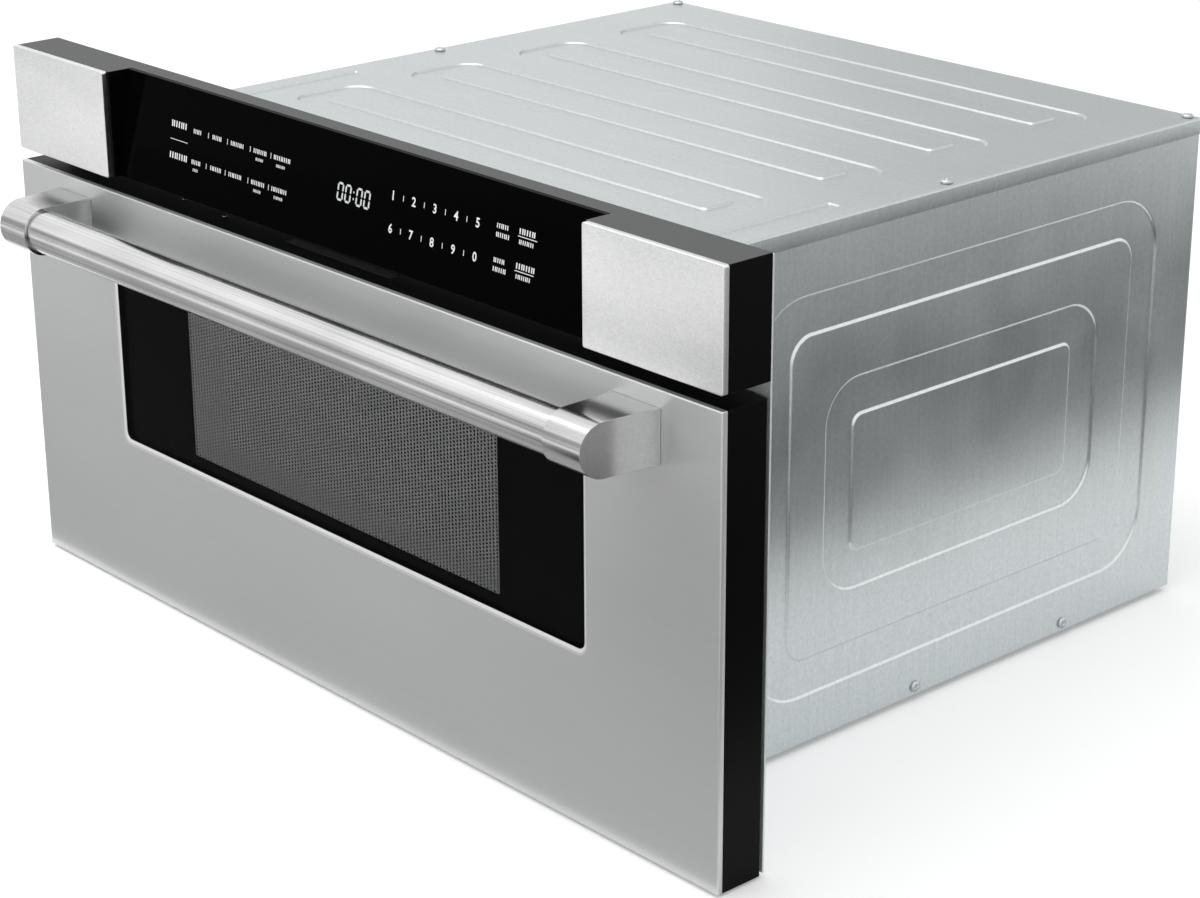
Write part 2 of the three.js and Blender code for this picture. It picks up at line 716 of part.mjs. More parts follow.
function stirrerCover() {
  const ys = [cabinetFront + coverSetback, cavityBack - runningGap];
  return block(both(cavityHalfWidth - runningGap), ys, [coverBottom(), coverBottom() + coverSheet]);
}

addPiece('base_pan', basePan(), 'galvanised');
for (const [name, side] of Object.entries(sides)) {
  addPiece(`side_panel_${name}`, sidePanel(side), 'galvanised');
}
addPiece('top_cover', topCover(), 'galvanised');
addPiece('back_panel', backPanel(), 'galvanised');
addPiece('front_frame', frontFrame(), 'galvanised');
addPiece('oven_cavity', ovenCavity(), 'cavityEnamel');
addPiece('stirrer_cover', stirrerCover(), 'mica');

// Screws of the lid and of the sides, numbered from the front left
[-1, 1].forEach((side, column) => topScrewsY.forEach((y, row) => {
  const screw = addPiece(`top_screw_${column * 2 + row + 1}`, screwGeometry(), 'plainSteel');
  screw.position.set(side * topScrewX, y, cabinetTop + seat);
}));
[-1, 1].forEach((side, column) => sideScrewsY.forEach((y, row) => {
  const screw = addPiece(`side_screw_${column * 2 + row + 1}`, screwGeometry(), 'plainSteel');
  screw.position.set(side * (panelOuter + seat), y, sideScrewZ);
  screw.rotation.y = (side * Math.PI) / 2;
}));

// ---------------------------------------------------------------------------------------------------------
// Microwave source, stirrer, lamp, fan and power board
// ---------------------------------------------------------------------------------------------------------

const guideBottom = roofTop + seat;

function waveguide() {
  const zs = [guideBottom, guideBottom + guideHeight];
  const shell = block(both(guideHalfWidth), [guideFront, guideBack], zs);
  const hollow = block(both(guideHalfWidth - guideWall), [guideFront + guideWall, guideBack - guideWall],
    grown(zs, -guideWall));
  const throughFloor = [guideBottom - 1, guideBottom + guideWall + 1];
  return cut(
    shell,
    hollow,
    rod('z', launchRadius, [0, launchY], throughFloor, 24),
    rod('z', antennaRadius + 1, [0, antennaY], throughFloor, 20),
  );
}

function magnetron() {
  const [width, depth, height] = magnetronSize;
  const top = guideBottom - seat;
  const bottom = top - height;
  const ys = [antennaY - depth / 2, antennaY + depth / 2];
  const finsBottom = bottom + filterBoxHeight;
  const finsTop = top - yoke;
  const finPitch = (finsTop - finsBottom) / (finCount + 1);
  const pieces = [
    block(both(width / 2), ys, [top - yoke, top]),
    block([-width / 2, -width / 2 + yoke], ys, [bottom, top]),
    block([width / 2 - yoke, width / 2], ys, [bottom, top]),
    block(both(width / 2), ys, [bottom, finsBottom]),
    rod('z', anodeRadius, [0, antennaY], [finsBottom - 1, finsTop + 1], 20),
    rod('z', antennaRadius, [0, antennaY], [top - 1, top + antennaHeight], 20),
  ];
  for (let i = 1; i <= finCount; i += 1) {
    const z = finsBottom + i * finPitch;
    pieces.push(block(both(width / 2 - yoke / 2), ys, [z - finWall / 2, z + finWall / 2]));
  }
  return join(pieces);
}

// Two windows in the laminations hold the coils, which lie round the middle leg.
const coreBottom = panTop + seat;
const coreMiddleZ = coreBottom + transformerSize[2] / 2;
const coilWindow = transformerSize[2] / 2 - transformerLeg / 2 - coilBand;

function transformerCore() {
  const [width, depth, height] = transformerSize;
  const ys = [transformerY - depth / 2, transformerY + depth / 2];
  const xs = [transformerX - width / 2, transformerX + width / 2];
  const core = block(xs, ys, [coreBottom, coreBottom + height]);
  const windows = [-1, 1].map((side) => {
    const near = coreMiddleZ + (side * transformerLeg) / 2;
    return block(grown(xs, -coilWindow), grown(ys, 1), [near, near + side * coilBand]);
  });
  return cut(core, ...windows);
}

function transformerWinding() {
  const [width, depth] = transformerSize;
  const legHalf = transformerLeg / 2 + runningGap;
  const coilHalf = transformerLeg / 2 + coilBand - runningGap;
  const overhang = 14;
  const xs = grown([transformerX - width / 2, transformerX + width / 2], -coilWindow - runningGap);
  const ys = grown([transformerY - depth / 2, transformerY + depth / 2], overhang);
  const zs = [coreMiddleZ - coilHalf, coreMiddleZ + coilHalf];
  const legZs = [coreMiddleZ - legHalf, coreMiddleZ + legHalf];
  const leg = block(grown(xs, 1), grown(ys, -overhang + runningGap), legZs);
  return block(xs, ys, zs).subtract(leg);
}

function capacitor() {
  const r = capacitorDepth / 2;
  const xs = [capacitorX - capacitorLength / 2, capacitorX + capacitorLength / 2];
  const ys = [transformerY - r, transformerY + r];
  const can = prism('z', roundedRectangle(xs, ys, r - 0.1), [coreBottom, coreBottom + capacitorHeight], 8);
  const canTop = coreBottom + capacitorHeight;
  const terminals = [-1, 1].map((side) => {
    const x = capacitorX + side * terminalOffset;
    const bladeYs = grown([transformerY, transformerY], 0.5);
    return block(grown([x, x], 3), bladeYs, [canTop - 1, canTop + terminalHeight]);
  });
  return join([can, ...terminals]);
}

function stirrerMotor() {
  const top = guideBottom + stirrerMotorHeight;
  const body = rod('z', stirrerMotorRadius, [0, stirrerY], [guideBottom, top], 24);
  const boreEnds = [guideBottom - 1, top - stirrerShaftEnd + 1];
  return body.subtract(rod('z', stirrerShaftRadius + runningGap, [0, stirrerY], boreEnds, 16));
}

function stirrer() {
  const bladeTop = stirrerBladeZ + stirrerBladeThickness;
  const shaftTop = guideBottom + stirrerMotorHeight - stirrerShaftEnd;
  const pieces = [
    rod('z', stirrerShaftRadius, [0, stirrerY], [stirrerBladeZ, shaftTop], 16),
    rod('z', stirrerHubRadius, [0, stirrerY], [stirrerBladeZ, stirrerBladeZ + stirrerHubHeight], 16),
  ];
  for (let i = 0; i < stirrerBladeCount; i += 1) {
    const turn = (2 * Math.PI * i) / stirrerBladeCount;
    const length = [stirrerBladeRoot, stirrerBladeRadius];
    const outline = roundedRectangle(length, both(stirrerBladeWidth / 2), stirrerBladeCorner);
    const blade = prism('z', outline, [stirrerBladeZ, bladeTop], 4);
    pieces.push(blade.rotate([0, 0, THREE.MathUtils.radToDeg(turn)]).translate([0, stirrerY, 0]));
  }
  return join(pieces);
}

function cavityLamp() {
  const [width, depth, height] = lampHolder;
  const xs = grown([lampX, lampX], width / 2);
  const ys = grown([lampY, lampY], depth / 2);
  const holder = block(xs, ys, [guideBottom, guideBottom + height]);
  const bulb = rod('z', lampRadius - lampClearance, [lampX, lampY], [cavityRoof + 0.5, guideBottom + 1], 16);
  return holder.add(bulb);
}

const fanBack = backPanelFront - seat;
const fanFront = fanBack - fanFrameDepth;

function fanHousing() {
  const xs = grown([fanX, fanX], fanFrame / 2);
  const frame = block(xs, [fanFront, fanBack], grown([fanZ, fanZ], fanFrame / 2));
  const bore = rod('y', fanBore, [fanX, fanZ], [fanFront - 1, fanBack + 1], 32);
  const bridge = block(xs, [fanFront - fanBridge, fanFront], grown([fanZ, fanZ], fanBridgeHalf));
  const shaftHole = rod('y', fanShaftRadius + 2, [fanX, fanZ], [fanFront - fanBridge - 1, fanFront + 1], 16);
  return frame.subtract(bore).add(bridge).subtract(shaftHole);
}

const fanMotorBack = fanFront - fanBridge - seat;
const fanMotorFront = fanMotorBack - fanMotorLength;
const fanShaftFront = fanMotorFront + 5;

function fanMotor() {
  const can = rod('y', fanMotorRadius, [fanX, fanZ], [fanMotorFront, fanMotorBack], 24);
  const bore = rod('y', fanShaftRadius + runningGap, [fanX, fanZ], [fanShaftFront - 1, fanMotorBack + 1], 16);
  return can.subtract(bore);
}

function fanRotor() {
  const ys = [fanFront + fanRotorInset[0], fanBack - fanRotorInset[1]];
  const pieces = [
    rod('y', fanHubRadius, [fanX, fanZ], ys, 24),
    rod('y', fanShaftRadius, [fanX, fanZ], [fanShaftFront, ys[0] + 1], 16),
  ];
  const bladeRoot = fanHubRadius - 3;
  const bladeTip = fanBore - fanTipGap - 3;
  for (let i = 0; i < fanBlades; i += 1) {
    const blade = new THREE.BoxGeometry(fanBladeThickness, ys[1] - ys[0], bladeTip - bladeRoot);
    blade.rotateZ(fanBladeAngle);
    blade.scale(1, 0.9, 1);
    blade.translate(0, (ys[0] + ys[1]) / 2, (bladeRoot + bladeTip) / 2);
    blade.rotateY((2 * Math.PI * i) / fanBlades);
    blade.translate(fanX, 0, fanZ);
    pieces.push(toSolid(blade));
  }
  return join(pieces);
}

function powerBoard() {
  const xs = [-powerBoardLeft, -powerBoardLeft + powerBoardSteps[0] * boardGrid];
  const ys = [powerBoardFront, powerBoardFront + powerBoardSteps[1] * boardGrid];
  const boardTop = guideBottom + powerBoardRise + boardThickness;
  const pieces = [block(xs, ys, [guideBottom + powerBoardRise, boardTop])];
  for (const x of grown(xs, -3 * boardGrid)) {
    for (const y of grown(ys, -3 * boardGrid)) {
      pieces.push(rod('z', 1.5 * boardGrid, [x, y], [guideBottom, boardTop], 10));
    }
  }
  for (const { from, size } of powerBoardParts) {
    const [x, y] = [xs[0] + from[0] * boardGrid, ys[0] + from[1] * boardGrid];
    const [width, depth, height] = size.map((steps) => steps * boardGrid);
    pieces.push(block([x, x + width], [y, y + depth], [boardTop - boardThickness / 2, boardTop + height]));
  }
  return join(pieces);
}

addPiece('waveguide', waveguide(), 'plainSteel');
addPiece('magnetron', magnetron(), 'plainSteel');
addPiece('transformer_core', transformerCore(), 'plainSteel');
addPiece('transformer_winding', transformerWinding(), 'lacquer');
addPiece('hv_capacitor', capacitor(), 'plainSteel');
addPiece('stirrer_motor', stirrerMotor(), 'plainSteel');
addPiece('stirrer', stirrer(), 'plainSteel');
addPiece('cavity_lamp', cavityLamp(), 'whitePlastic');
addPiece('fan_housing', fanHousing(), 'greyPlastic');
addPiece('fan_motor', fanMotor(), 'plainSteel');
addPiece('fan_rotor', fanRotor(), 'greyPlastic');
addPiece('power_board', powerBoard(), 'board');

// ---------------------------------------------------------------------------------------------------------
// Control fascia
// ---------------------------------------------------------------------------------------------------------

// Depth of the control glass's face at a height.
function glassDepthAt(z) {
  const share = (z - fasciaBottom) / fasciaHeight;
  return controlGlassBottomDepth + share * (controlGlassTopDepth - controlGlassBottomDepth);
}

// A slab between two planes parallel to the control glass, given by how far they lie behind its face.
function slantedSlab(halfLength, [near, far], zs) {
  const outline = polygon([
    [glassDepthAt(zs[0]) + near, zs[0]],
    [glassDepthAt(zs[0]) + far, zs[0]],
    [glassDepthAt(zs[1]) + far, zs[1]],
    [glassDepthAt(zs[1]) + near, zs[1]],
  ]);
  return prism('x', outline, both(halfLength));
}

const glassHalf = capInset - capMargin;

function fasciaBody() {
  const bodyFront = skinReturn + seat;
  const recessDepth = controlGlassThickness + seat;
  const body = block(both(halfWidth), [bodyFront, fasciaDepth], [fasciaBottom, fasciaTop]);
  const recessZ = grown([fasciaBottom, fasciaTop], 1);
  const recess = slantedSlab(glassHalf + runningGap, [-fasciaDepth, recessDepth], recessZ);
  const innerZ = [fasciaBottom + fasciaWall, fasciaTop - fasciaWall];
  const hollow = prism('x', polygon([
    [glassDepthAt(innerZ[0]) + recessDepth + fasciaWall, innerZ[0]],
    [fasciaDepth + 1, innerZ[0]],
    [fasciaDepth + 1, innerZ[1]],
    [glassDepthAt(innerZ[1]) + recessDepth + fasciaWall, innerZ[1]],
  ]), both(halfWidth - fasciaWall));
  const endHollows = [-1, 1].map((side) =>
    block([side * (glassHalf + runningGap + fasciaWall), side * (halfWidth - fasciaWall)],
      [bodyFront + fasciaWall, fasciaDepth + 1], innerZ));
  const boardWindow = block(both(controlBoardWidth / 2 + boardWindowMargin), [0, fasciaDepth],
    [displayCentreZ - controlBoardHeight / 2 - 2, displayCentreZ + controlBoardHeight / 2]);
  return cut(body, recess, hollow, ...endHollows, boardWindow);
}

function fasciaCap(side) {
  const xs = sorted(side * capInset, side * halfWidth);
  const zs = [fasciaBottom, fasciaTop];
  const shell = prism('y', roundedRectangle(xs, zs, capCorner), [0, skinReturn], 4);
  const pocket = prism('y', roundedRectangle(grown(xs, -skinWall), grown(zs, -skinWall), capCorner / 2),
    [skinWall, skinReturn + 1], 2);
  return shell.subtract(pocket);
}

function controlGlass() {
  const zs = [fasciaBottom + glassBottomMargin, fasciaTop - glassTopMargin];
  return slantedSlab(glassHalf, [0, controlGlassThickness], zs);
}

const boardFront = fasciaDepth - boardBehindFace;

function controlBoard() {
  const zs = [displayCentreZ - controlBoardHeight / 2, displayCentreZ + controlBoardHeight / 2 - 3];
  const board = block(both(controlBoardWidth / 2), [boardFront, boardFront + boardThickness], zs);
  const standoffs = [-1, 1].flatMap((side) => grown(zs, -5).map((z) =>
    rod('y', 3, [side * (controlBoardWidth / 2 - 6), z], [boardFront + 0.5, frameFace - seat], 10)));
  return join([board, ...standoffs]);
}

function displayModule() {
  const xs = [displayCentreX - displayWidth / 2, displayCentreX + displayWidth / 2];
  const zs = [displayCentreZ - displayHeight / 2, displayCentreZ + displayHeight / 2];
  return block(xs, [boardFront - seat - displayDepth, boardFront - seat], zs);
}

addPiece('fascia_body', fasciaBody(), 'blackPaint');
for (const [name, side] of Object.entries(sides)) {
  addPiece(`fascia_cap_${name}`, fasciaCap(side), 'brushedSteel');
}
addPiece('control_glass', controlGlass(), 'blackGlass');
addPiece('control_board', controlBoard(), 'board');
addPiece('display_module', displayModule(), 'blackPaint');

// ---------------------------------------------------------------------------------------------------------
// Drawer front
// ---------------------------------------------------------------------------------------------------------

const windowZ = [windowBottom, windowTop];
const sightZ = [sightBottom, sightTop];

// The skin's window edge slopes inward, so its hole is cut by a tapered prism.
function taperedWindow() {
  const hole = roundedRectangle(both(windowWidth / 2), windowZ, windowCorner);
  const points = hole.getPoints(3);
  const middleZ = (windowBottom + windowTop) / 2;
  const widen = new THREE.Vector2(
    (windowWidth / 2 + windowBevel) / (windowWidth / 2),
    ((windowTop - windowBottom) / 2 + windowBevel) / ((windowTop - windowBottom) / 2),
  );
  // From the back of the skin to twice its thickness in front, the hole grows by twice the bevel.
  const settings = { depth: 2 * skinWall, bevelEnabled: false };
  const geometry = new THREE.ExtrudeGeometry(new THREE.Shape(points), settings);
  const position = geometry.attributes.position;
  for (let i = 0; i < position.count; i += 1) {
    if (position.getZ(i) > skinWall) {
      position.setX(i, position.getX(i) * (2 * widen.x - 1));
      position.setY(i, middleZ + (position.getY(i) - middleZ) * (2 * widen.y - 1));
    }
  }
  geometry.applyMatrix4(new THREE.Matrix4().makeBasis(...axisBasis.y).setPosition(0, skinWall, 0));
  return toSolid(geometry);
}

function doorSkin() {
  const xs = both(halfWidth);
  const zs = [doorLift, doorTop];
  const shell = block(xs, [0, skinReturn], zs);
  const pocket = block(grown(xs, -skinWall), [skinWall, skinReturn + 1], grown(zs, -skinWall));
  const hole = roundedRectangle(both(windowWidth / 2), windowZ, windowCorner);
  return cut(shell, pocket, prism('y', hole, [-1, skinReturn]), taperedWindow());
}

// Outline that the glass and the screen behind it share.
function glazingOutline() {
  return roundedRectangle(both(windowWidth / 2 + glassLap), grown(windowZ, glassLap), windowCorner);
}

function windowGlass() {
  return prism('y', glazingOutline(), [glassFront, glassBack]);
}

function meshScreen() {
  return prism('y', glazingOutline(), [screenFront, screenBack]);
}

function doorFrame() {
  const xs = both(halfWidth);
  const zs = [doorLift, doorTop];
  const bodyFront = skinReturn + seat;
  const body = block(xs, [bodyFront, linerBack], zs);
  const pocketXs = both(windowWidth / 2 + glassLap + pocketGap);
  const glassPocket = block(pocketXs, [0, webFront], grown(windowZ, glassLap + pocketGap));
  const hollow = block(grown(xs, -frameWall), [webBack, linerBack + 1], grown(zs, -frameWall));
  const sight = block(both(sightWidth / 2), [0, webBack + 1], sightZ);
  return cut(body, glassPocket, hollow, sight);
}

function doorLiner() {
  const xs = grown(both(halfWidth), -frameWall - runningGap);
  const zs = grown([doorLift, doorTop], -frameWall - runningGap);
  const plate = block(xs, [linerFront, linerBack], zs);
  const chokeZ = [mouthBottom + mouthClearance, mouthTop - mouthClearance];
  const ringYs = [linerBack - linerWall / 4, linerBack + chokeDepth];
  const ringHole = block(both(chokeHalf - chokeWall), grown(ringYs, 1), grown(chokeZ, -chokeWall));
  const ring = block(both(chokeHalf), ringYs, chokeZ).subtract(ringHole);
  const sight = block(both(sightWidth / 2), [linerFront - 1, linerBack + 1], sightZ);
  return plate.add(ring).subtract(sight);
}

function chokeCover() {
  const ys = [behindLiner, behindLiner + chokeCoverWall];
  const zs = grown([mouthBottom, mouthTop], chokeCoverLap);
  const hole = block(both(chokeHalf + runningGap), grown(ys, 1),
    [mouthBottom + mouthClearance - runningGap, mouthTop - mouthClearance + runningGap]);
  return block(both(chokeCoverHalf), ys, zs).subtract(hole);
}

function latchHook(side) {
  const baseXs = [side * (chokeCoverHalf + 1), side * (hookX + hookBaseReach)];
  const baseYs = [behindLiner, behindLiner + chokeCoverWall];
  const base = block(baseXs, baseYs, grown(hookZ, hookBaseLap));
  const xs = grown([side * hookX, side * hookX], hookWall / 2);
  const tip = behindLiner + hookReach;
  const arm = block(xs, [behindLiner, tip], hookZ);
  const notchYs = [tip - hookNotch.tip - hookNotch.width, tip - hookNotch.tip];
  const notch = block(grown(xs, 1), notchYs, [hookZ[0] - 1, hookZ[0] + hookNotch.depth]);
  return base.add(arm).subtract(notch);
}

function interlockSwitch(side) {
  const [width, depth, height] = switchSize;
  const middleZ = (hookZ[0] + hookZ[1]) / 2;
  const inner = hookX + hookWall / 2 + switchGap;
  const bracketXs = switchBracket.x.map((x) => side * (hookX + x));
  const bracketYs = [cabinetFront, cabinetFront + switchBracket.wall];
  const bracket = block(bracketXs, bracketYs, grown([middleZ, middleZ], switchBracket.half));
  const bodyYs = [cabinetFront + 1, cabinetFront + depth];
  const body = block([side * inner, side * (inner + width)], bodyYs, grown([middleZ, middleZ], height / 2));
  return bracket.add(body);
}

addPiece('door_skin', doorSkin(), 'brushedSteel');
addPiece('window_glass', windowGlass(), 'blackGlass');
addPiece('mesh_screen', meshScreen(), 'darkScreen');
addPiece('door_frame', doorFrame(), 'blackPaint');
addPiece('door_liner', doorLiner(), 'plainSteel');
addPiece('choke_cover', chokeCover(), 'greyPlastic');
for (const [name, side] of Object.entries(sides)) {
  addPiece(`latch_hook_${name}`, latchHook(side), 'whitePlastic');
  addPiece(`interlock_switch_${name}`, interlockSwitch(side), 'greyPlastic');
}

// ---------------------------------------------------------------------------------------------------------
// Handle
// ---------------------------------------------------------------------------------------------------------

// Side view of a post: round in front, straight back to the drawer front.
function postOutline(radius, back) {
  const outline = new THREE.Shape();
  outline.moveTo(back, handleHeight + radius);
  outline.lineTo(-handleReach, handleHeight + radius);
  outline.absarc(-handleReach, handleHeight, radius, Math.PI / 2, 1.5 * Math.PI, false);
  outline.lineTo(back, handleHeight - radius);
  return outline;
}

// Plan view of a post: the outer face leans out, and both faces flare out at the foot.
function postPlan(side) {
  const inner = postSpan / 2;
  const outer = inner + postWidth;
  const leant = outer + postTaper;
  const front = -handleReach - postRadius;
  const rim = -seat - footRim;
  const outline = new THREE.Shape();
  outline.moveTo(side * inner, front);
  outline.lineTo(side * inner, -footDepth);
  outline.quadraticCurveTo(side * inner, rim, side * (inner - footFlare), rim);
  outline.lineTo(side * (inner - footFlare), -seat);
  outline.lineTo(side * (leant + footFlare), -seat);
  outline.lineTo(side * (leant + footFlare), rim);
  outline.quadraticCurveTo(side * leant, rim, side * leant, -footDepth);
  outline.lineTo(side * outer, front);
  return outline;
}

function handlePost(side) {
  const xs = [side * (postSpan / 2 - footFlare), side * (postSpan / 2 + postWidth + postTaper + footFlare)];
  const block = prism('x', postOutline(postRadius, -seat), grown(sorted(...xs), 1), 20);
  const levels = [handleHeight - postRadius - 1, handleHeight + postRadius + 1];
  const post = block.intersect(prism('z', postPlan(side), levels, 6));
  const plug = rod('x', barRadius - barWall - runningGap, [-handleReach, handleHeight],
    [side * (postSpan / 2 + 1), side * (postSpan / 2 - plugLength)], 24);
  return join([post, plug]);
}

function handleBar() {
  const ends = both(postSpan / 2 - runningGap);
  const axis = [-handleReach, handleHeight];
  const bore = rod('x', barRadius - barWall, axis, grown(ends, 1), 40);
  return rod('x', barRadius, axis, ends, 40).subtract(bore);
}

addPiece('handle_bar', handleBar(), 'brushedSteel');
for (const [name, side] of Object.entries(sides)) {
  addPiece(`handle_post_${name}`, handlePost(side), 'polishedSteel');
}

// ---------------------------------------------------------------------------------------------------------
// Drawer box
// ---------------------------------------------------------------------------------------------------------

function drawerTub() {
  const xs = both(tubHalfWidth);
  const ys = [behindLiner, tubBack];
  const box = block(xs, ys, [tubBottom, tubTop]);
  const inside = block(grown(xs, -tubWall), grown(ys, -tubWall), [tubBottom + tubWall, tubTop + 1]);
  const frontWall = [behindLiner - 1, behindLiner + tubWall + 1];
  const sight = block(both(sightWidth / 2), frontWall, [sightBottom, tubTop + 1]);
  return cut(box, inside, sight);
}

function ceramicTray() {
  const inset = tubWall + trayEdgeGap;
  const xs = grown(both(tubHalfWidth), -inset);
  const ys = grown([behindLiner, tubBack], -inset);
  return prism('z', roundedRectangle(xs, ys, trayCorner), [trayBottom, trayBottom + trayThickness], 4);
}

addPiece('drawer_tub', drawerTub(), 'cavityEnamel');
addPiece('ceramic_tray', ceramicTray(), 'ceramic');

// ---------------------------------------------------------------------------------------------------------
// Slides: three channels nested in each other on each side
// ---------------------------------------------------------------------------------------------------------

// A channel whose web's outer face is at webX, with flanges that reach outward, or inward where negative.
function rail(side, webX, flangeReach, zs, ys) {
  const web = block([side * webX, side * (webX - railWall)], ys, zs);
  const flangeXs = [side * webX, side * (webX + flangeReach)];
  const lower = block(flangeXs, ys, [zs[0], zs[0] + railWall]);
  const upper = block(flangeXs, ys, [zs[1] - railWall, zs[1]]);
  return join([web, lower, upper]);
}

const nestStep = railWall + runningGap;
const fixedZ = [railBottom, railBottom + railHeight];
const middleZ = grown(fixedZ, -nestStep);
const innerZ = grown(middleZ, -nestStep);
const fixedYs = [cabinetFront + railInset, cabinetFront + railInset + railLength];
const middleYs = grown(fixedYs, -2);
const innerYs = [behindLiner, fixedYs[1] - 4];
const middleWebX = railWebX - nestStep;
const innerWebX = railWebX - railDepth + railWall;
const middleReach = railDepth - nestStep - 1;
const innerReach = railDepth - 2 * nestStep - innerRailLip;

for (const [name, side] of Object.entries(sides)) {
  const tabXs = [side * (innerWebX - railTabHalf), side * (innerWebX + railTabHalf / 2)];
  const tab = block(tabXs, [behindLiner, behindLiner + railWall], innerZ);
  addPiece(`fixed_rail_${name}`, rail(side, railWebX, -railDepth, fixedZ, fixedYs), 'plainSteel');
  addPiece(`middle_rail_${name}`, rail(side, middleWebX, -middleReach, middleZ, middleYs), 'plainSteel');
  addPiece(`inner_rail_${name}`, rail(side, innerWebX, innerReach, innerZ, innerYs).add(tab), 'plainSteel');
}

// ---------------------------------------------------------------------------------------------------------
// Drawer drive
// ---------------------------------------------------------------------------------------------------------

// Side view of the rack, teeth down. At rest the gap between two teeth is right above the pinion's axis.
function rackOutline() {
  const pitch = Math.PI * gearModule;
  const tipZ = rackPitchZ - gearModule;
  const rootZ = rackPitchZ + 1.25 * gearModule;
  const slope = Math.tan(pressureAngle);
  const halfAt = (z) => pitch / 4 - toothRelief - (rackPitchZ - z) * slope;
  const first = Math.ceil((behindLiner + 8 - pinionY) / pitch - 0.5);
  const last = Math.floor((rackEnd - 4 - pinionY) / pitch - 0.5);
  const points = [[behindLiner, rackTop], [behindLiner, rootZ]];
  for (let i = first; i <= last; i += 1) {
    const y = pinionY + (i + 0.5) * pitch;
    points.push([y - halfAt(rootZ), rootZ], [y - halfAt(tipZ), tipZ]);
    points.push([y + halfAt(tipZ), tipZ], [y + halfAt(rootZ), rootZ]);
  }
  points.push([rackEnd, rootZ], [rackEnd, rackTop]);
  return polygon(points.reverse());
}

// Side view of the pinion, with involute flanks and one tooth straight up.
function pinionOutline() {
  const baseRadius = pitchRadius * Math.cos(pressureAngle);
  const tipRadius = pitchRadius + gearModule * 0.95;
  const rootRadius = pitchRadius - 1.25 * gearModule;
  const involute = (angle) => Math.tan(angle) - angle;
  const halfToothAt = (radius) => {
    const pressure = Math.acos(Math.min(1, baseRadius / radius));
    const halfAtPitch = Math.PI / (2 * pinionTeeth) - toothRelief / pitchRadius;
    return halfAtPitch + involute(pressureAngle) - involute(pressure);
  };
  const flankSteps = 3;
  const radii = [rootRadius];
  for (let i = 0; i <= flankSteps; i += 1) {
    radii.push(baseRadius + ((tipRadius - baseRadius) * i) / flankSteps);
  }
  const points = [];
  for (let tooth = 0; tooth < pinionTeeth; tooth += 1) {
    const middle = Math.PI / 2 + (2 * Math.PI * tooth) / pinionTeeth;
    const place = (radius, angle) => [pinionY + radius * Math.cos(angle), pinionZ + radius * Math.sin(angle)];
    const flank = (radius, sign) => place(radius, middle + sign * halfToothAt(Math.max(radius, baseRadius)));
    points.push(...radii.map((radius) => flank(radius, -1)));
    points.push(...[...radii].reverse().map((radius) => flank(radius, 1)));
  }
  return polygon(points);
}

function drivePinion() {
  const gear = prism('x', pinionOutline(), both(gearWidth / 2));
  const shaftXs = [-gearWidth / 2 - pinionShaftLength, gearWidth / 2 + 2];
  return gear.add(rod('x', pinionShaftRadius, [pinionY, pinionZ], shaftXs, 16));
}

function driveRack() {
  const bar = prism('x', rackOutline(), both(gearWidth / 2));
  const tab = block(both(gearWidth * 1.5), [behindLiner, behindLiner + 2], [rackPitchZ - 8, rackTop]);
  return bar.add(tab);
}

function driveMotor() {
  const [width, depth, height] = gearboxSize;
  const bottom = panTop + seat;
  const top = bottom + height;
  const right = -gearWidth / 2 - gearboxGap;
  const ys = [pinionY - depth / 2, pinionY + depth / 2];
  const guideYs = grown([pinionY, pinionY], rackGuideHalf);
  const guideBottomZ = rackTop + runningGap;
  const guideTopZ = guideBottomZ + rackGuideWall;
  const canMiddle = [right - width / 2, pinionZ - 6];
  const pieces = [
    block([right - width, right], ys, [bottom, top]),
    block([right - width, gearWidth / 2 + 8], ys, [bottom, bottom + gearboxFoot]),
    rod('y', driveCanRadius, canMiddle, [ys[1] - 1, ys[1] + driveCanLength], 24),
    block([right - 4, gearWidth / 2 + 4], guideYs, [guideBottomZ, guideTopZ]),
    block([right - 4, right], guideYs, [top - 1, guideTopZ]),
  ];
  const boreXs = [right - pinionShaftLength, right + 1];
  const bore = rod('x', pinionShaftRadius + runningGap, [pinionY, pinionZ], boreXs, 16);
  return join(pieces).subtract(bore);
}

addPiece('drive_motor', driveMotor(), 'greyPlastic');
addPiece('drive_pinion', drivePinion(), 'whitePlastic');
addPiece('drive_rack', driveRack(), 'whitePlastic');

// ---------------------------------------------------------------------------------------------------------
// Cord gland: a flanged bush with an open bore, held in the back panel
// ---------------------------------------------------------------------------------------------------------

function cordGland() {
  const profile = [
    [glandBore, backPanelFront - glandInside],
    [glandBody, backPanelFront - glandInside],
    [glandBody, backPanelBack + seat],
    [glandHead, backPanelBack + seat],
    [glandHead, backPanelBack + glandHeadDepth],
    [glandBody, backPanelBack + glandProud],
    [glandBore, backPanelBack + glandProud],
    [glandBore, backPanelFront - glandInside],
  ].map(([r, y]) => new THREE.Vector2(r, y));
  return new THREE.LatheGeometry(profile, 16).translate(glandX, 0, glandZ);
}

addPiece('cord_gland', cordGland(), 'blackPaint');

// The origin goes to the middle of the base of everything, between the handle's front and the gland's end.
const frontMost = -handleReach - postRadius;
const backMost = backPanelBack + glandProud;
drawer.position.y = -(frontMost + backMost) / 2;

export default drawer;
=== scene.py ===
# %% [markdown]
# # A built-in microwave drawer in a studio
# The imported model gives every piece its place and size. This notebook dresses it: sheet metal gets its bends
# and pressed channels, edges get their small radii, and each surface gets the finish that its maker gave it.
# The object's lengths are written in millimetres and turned to metres with MM. Those of the camera and the
# studio are in metres. +X is to the right seen from the front, and +Z is up.

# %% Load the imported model
import json
import math

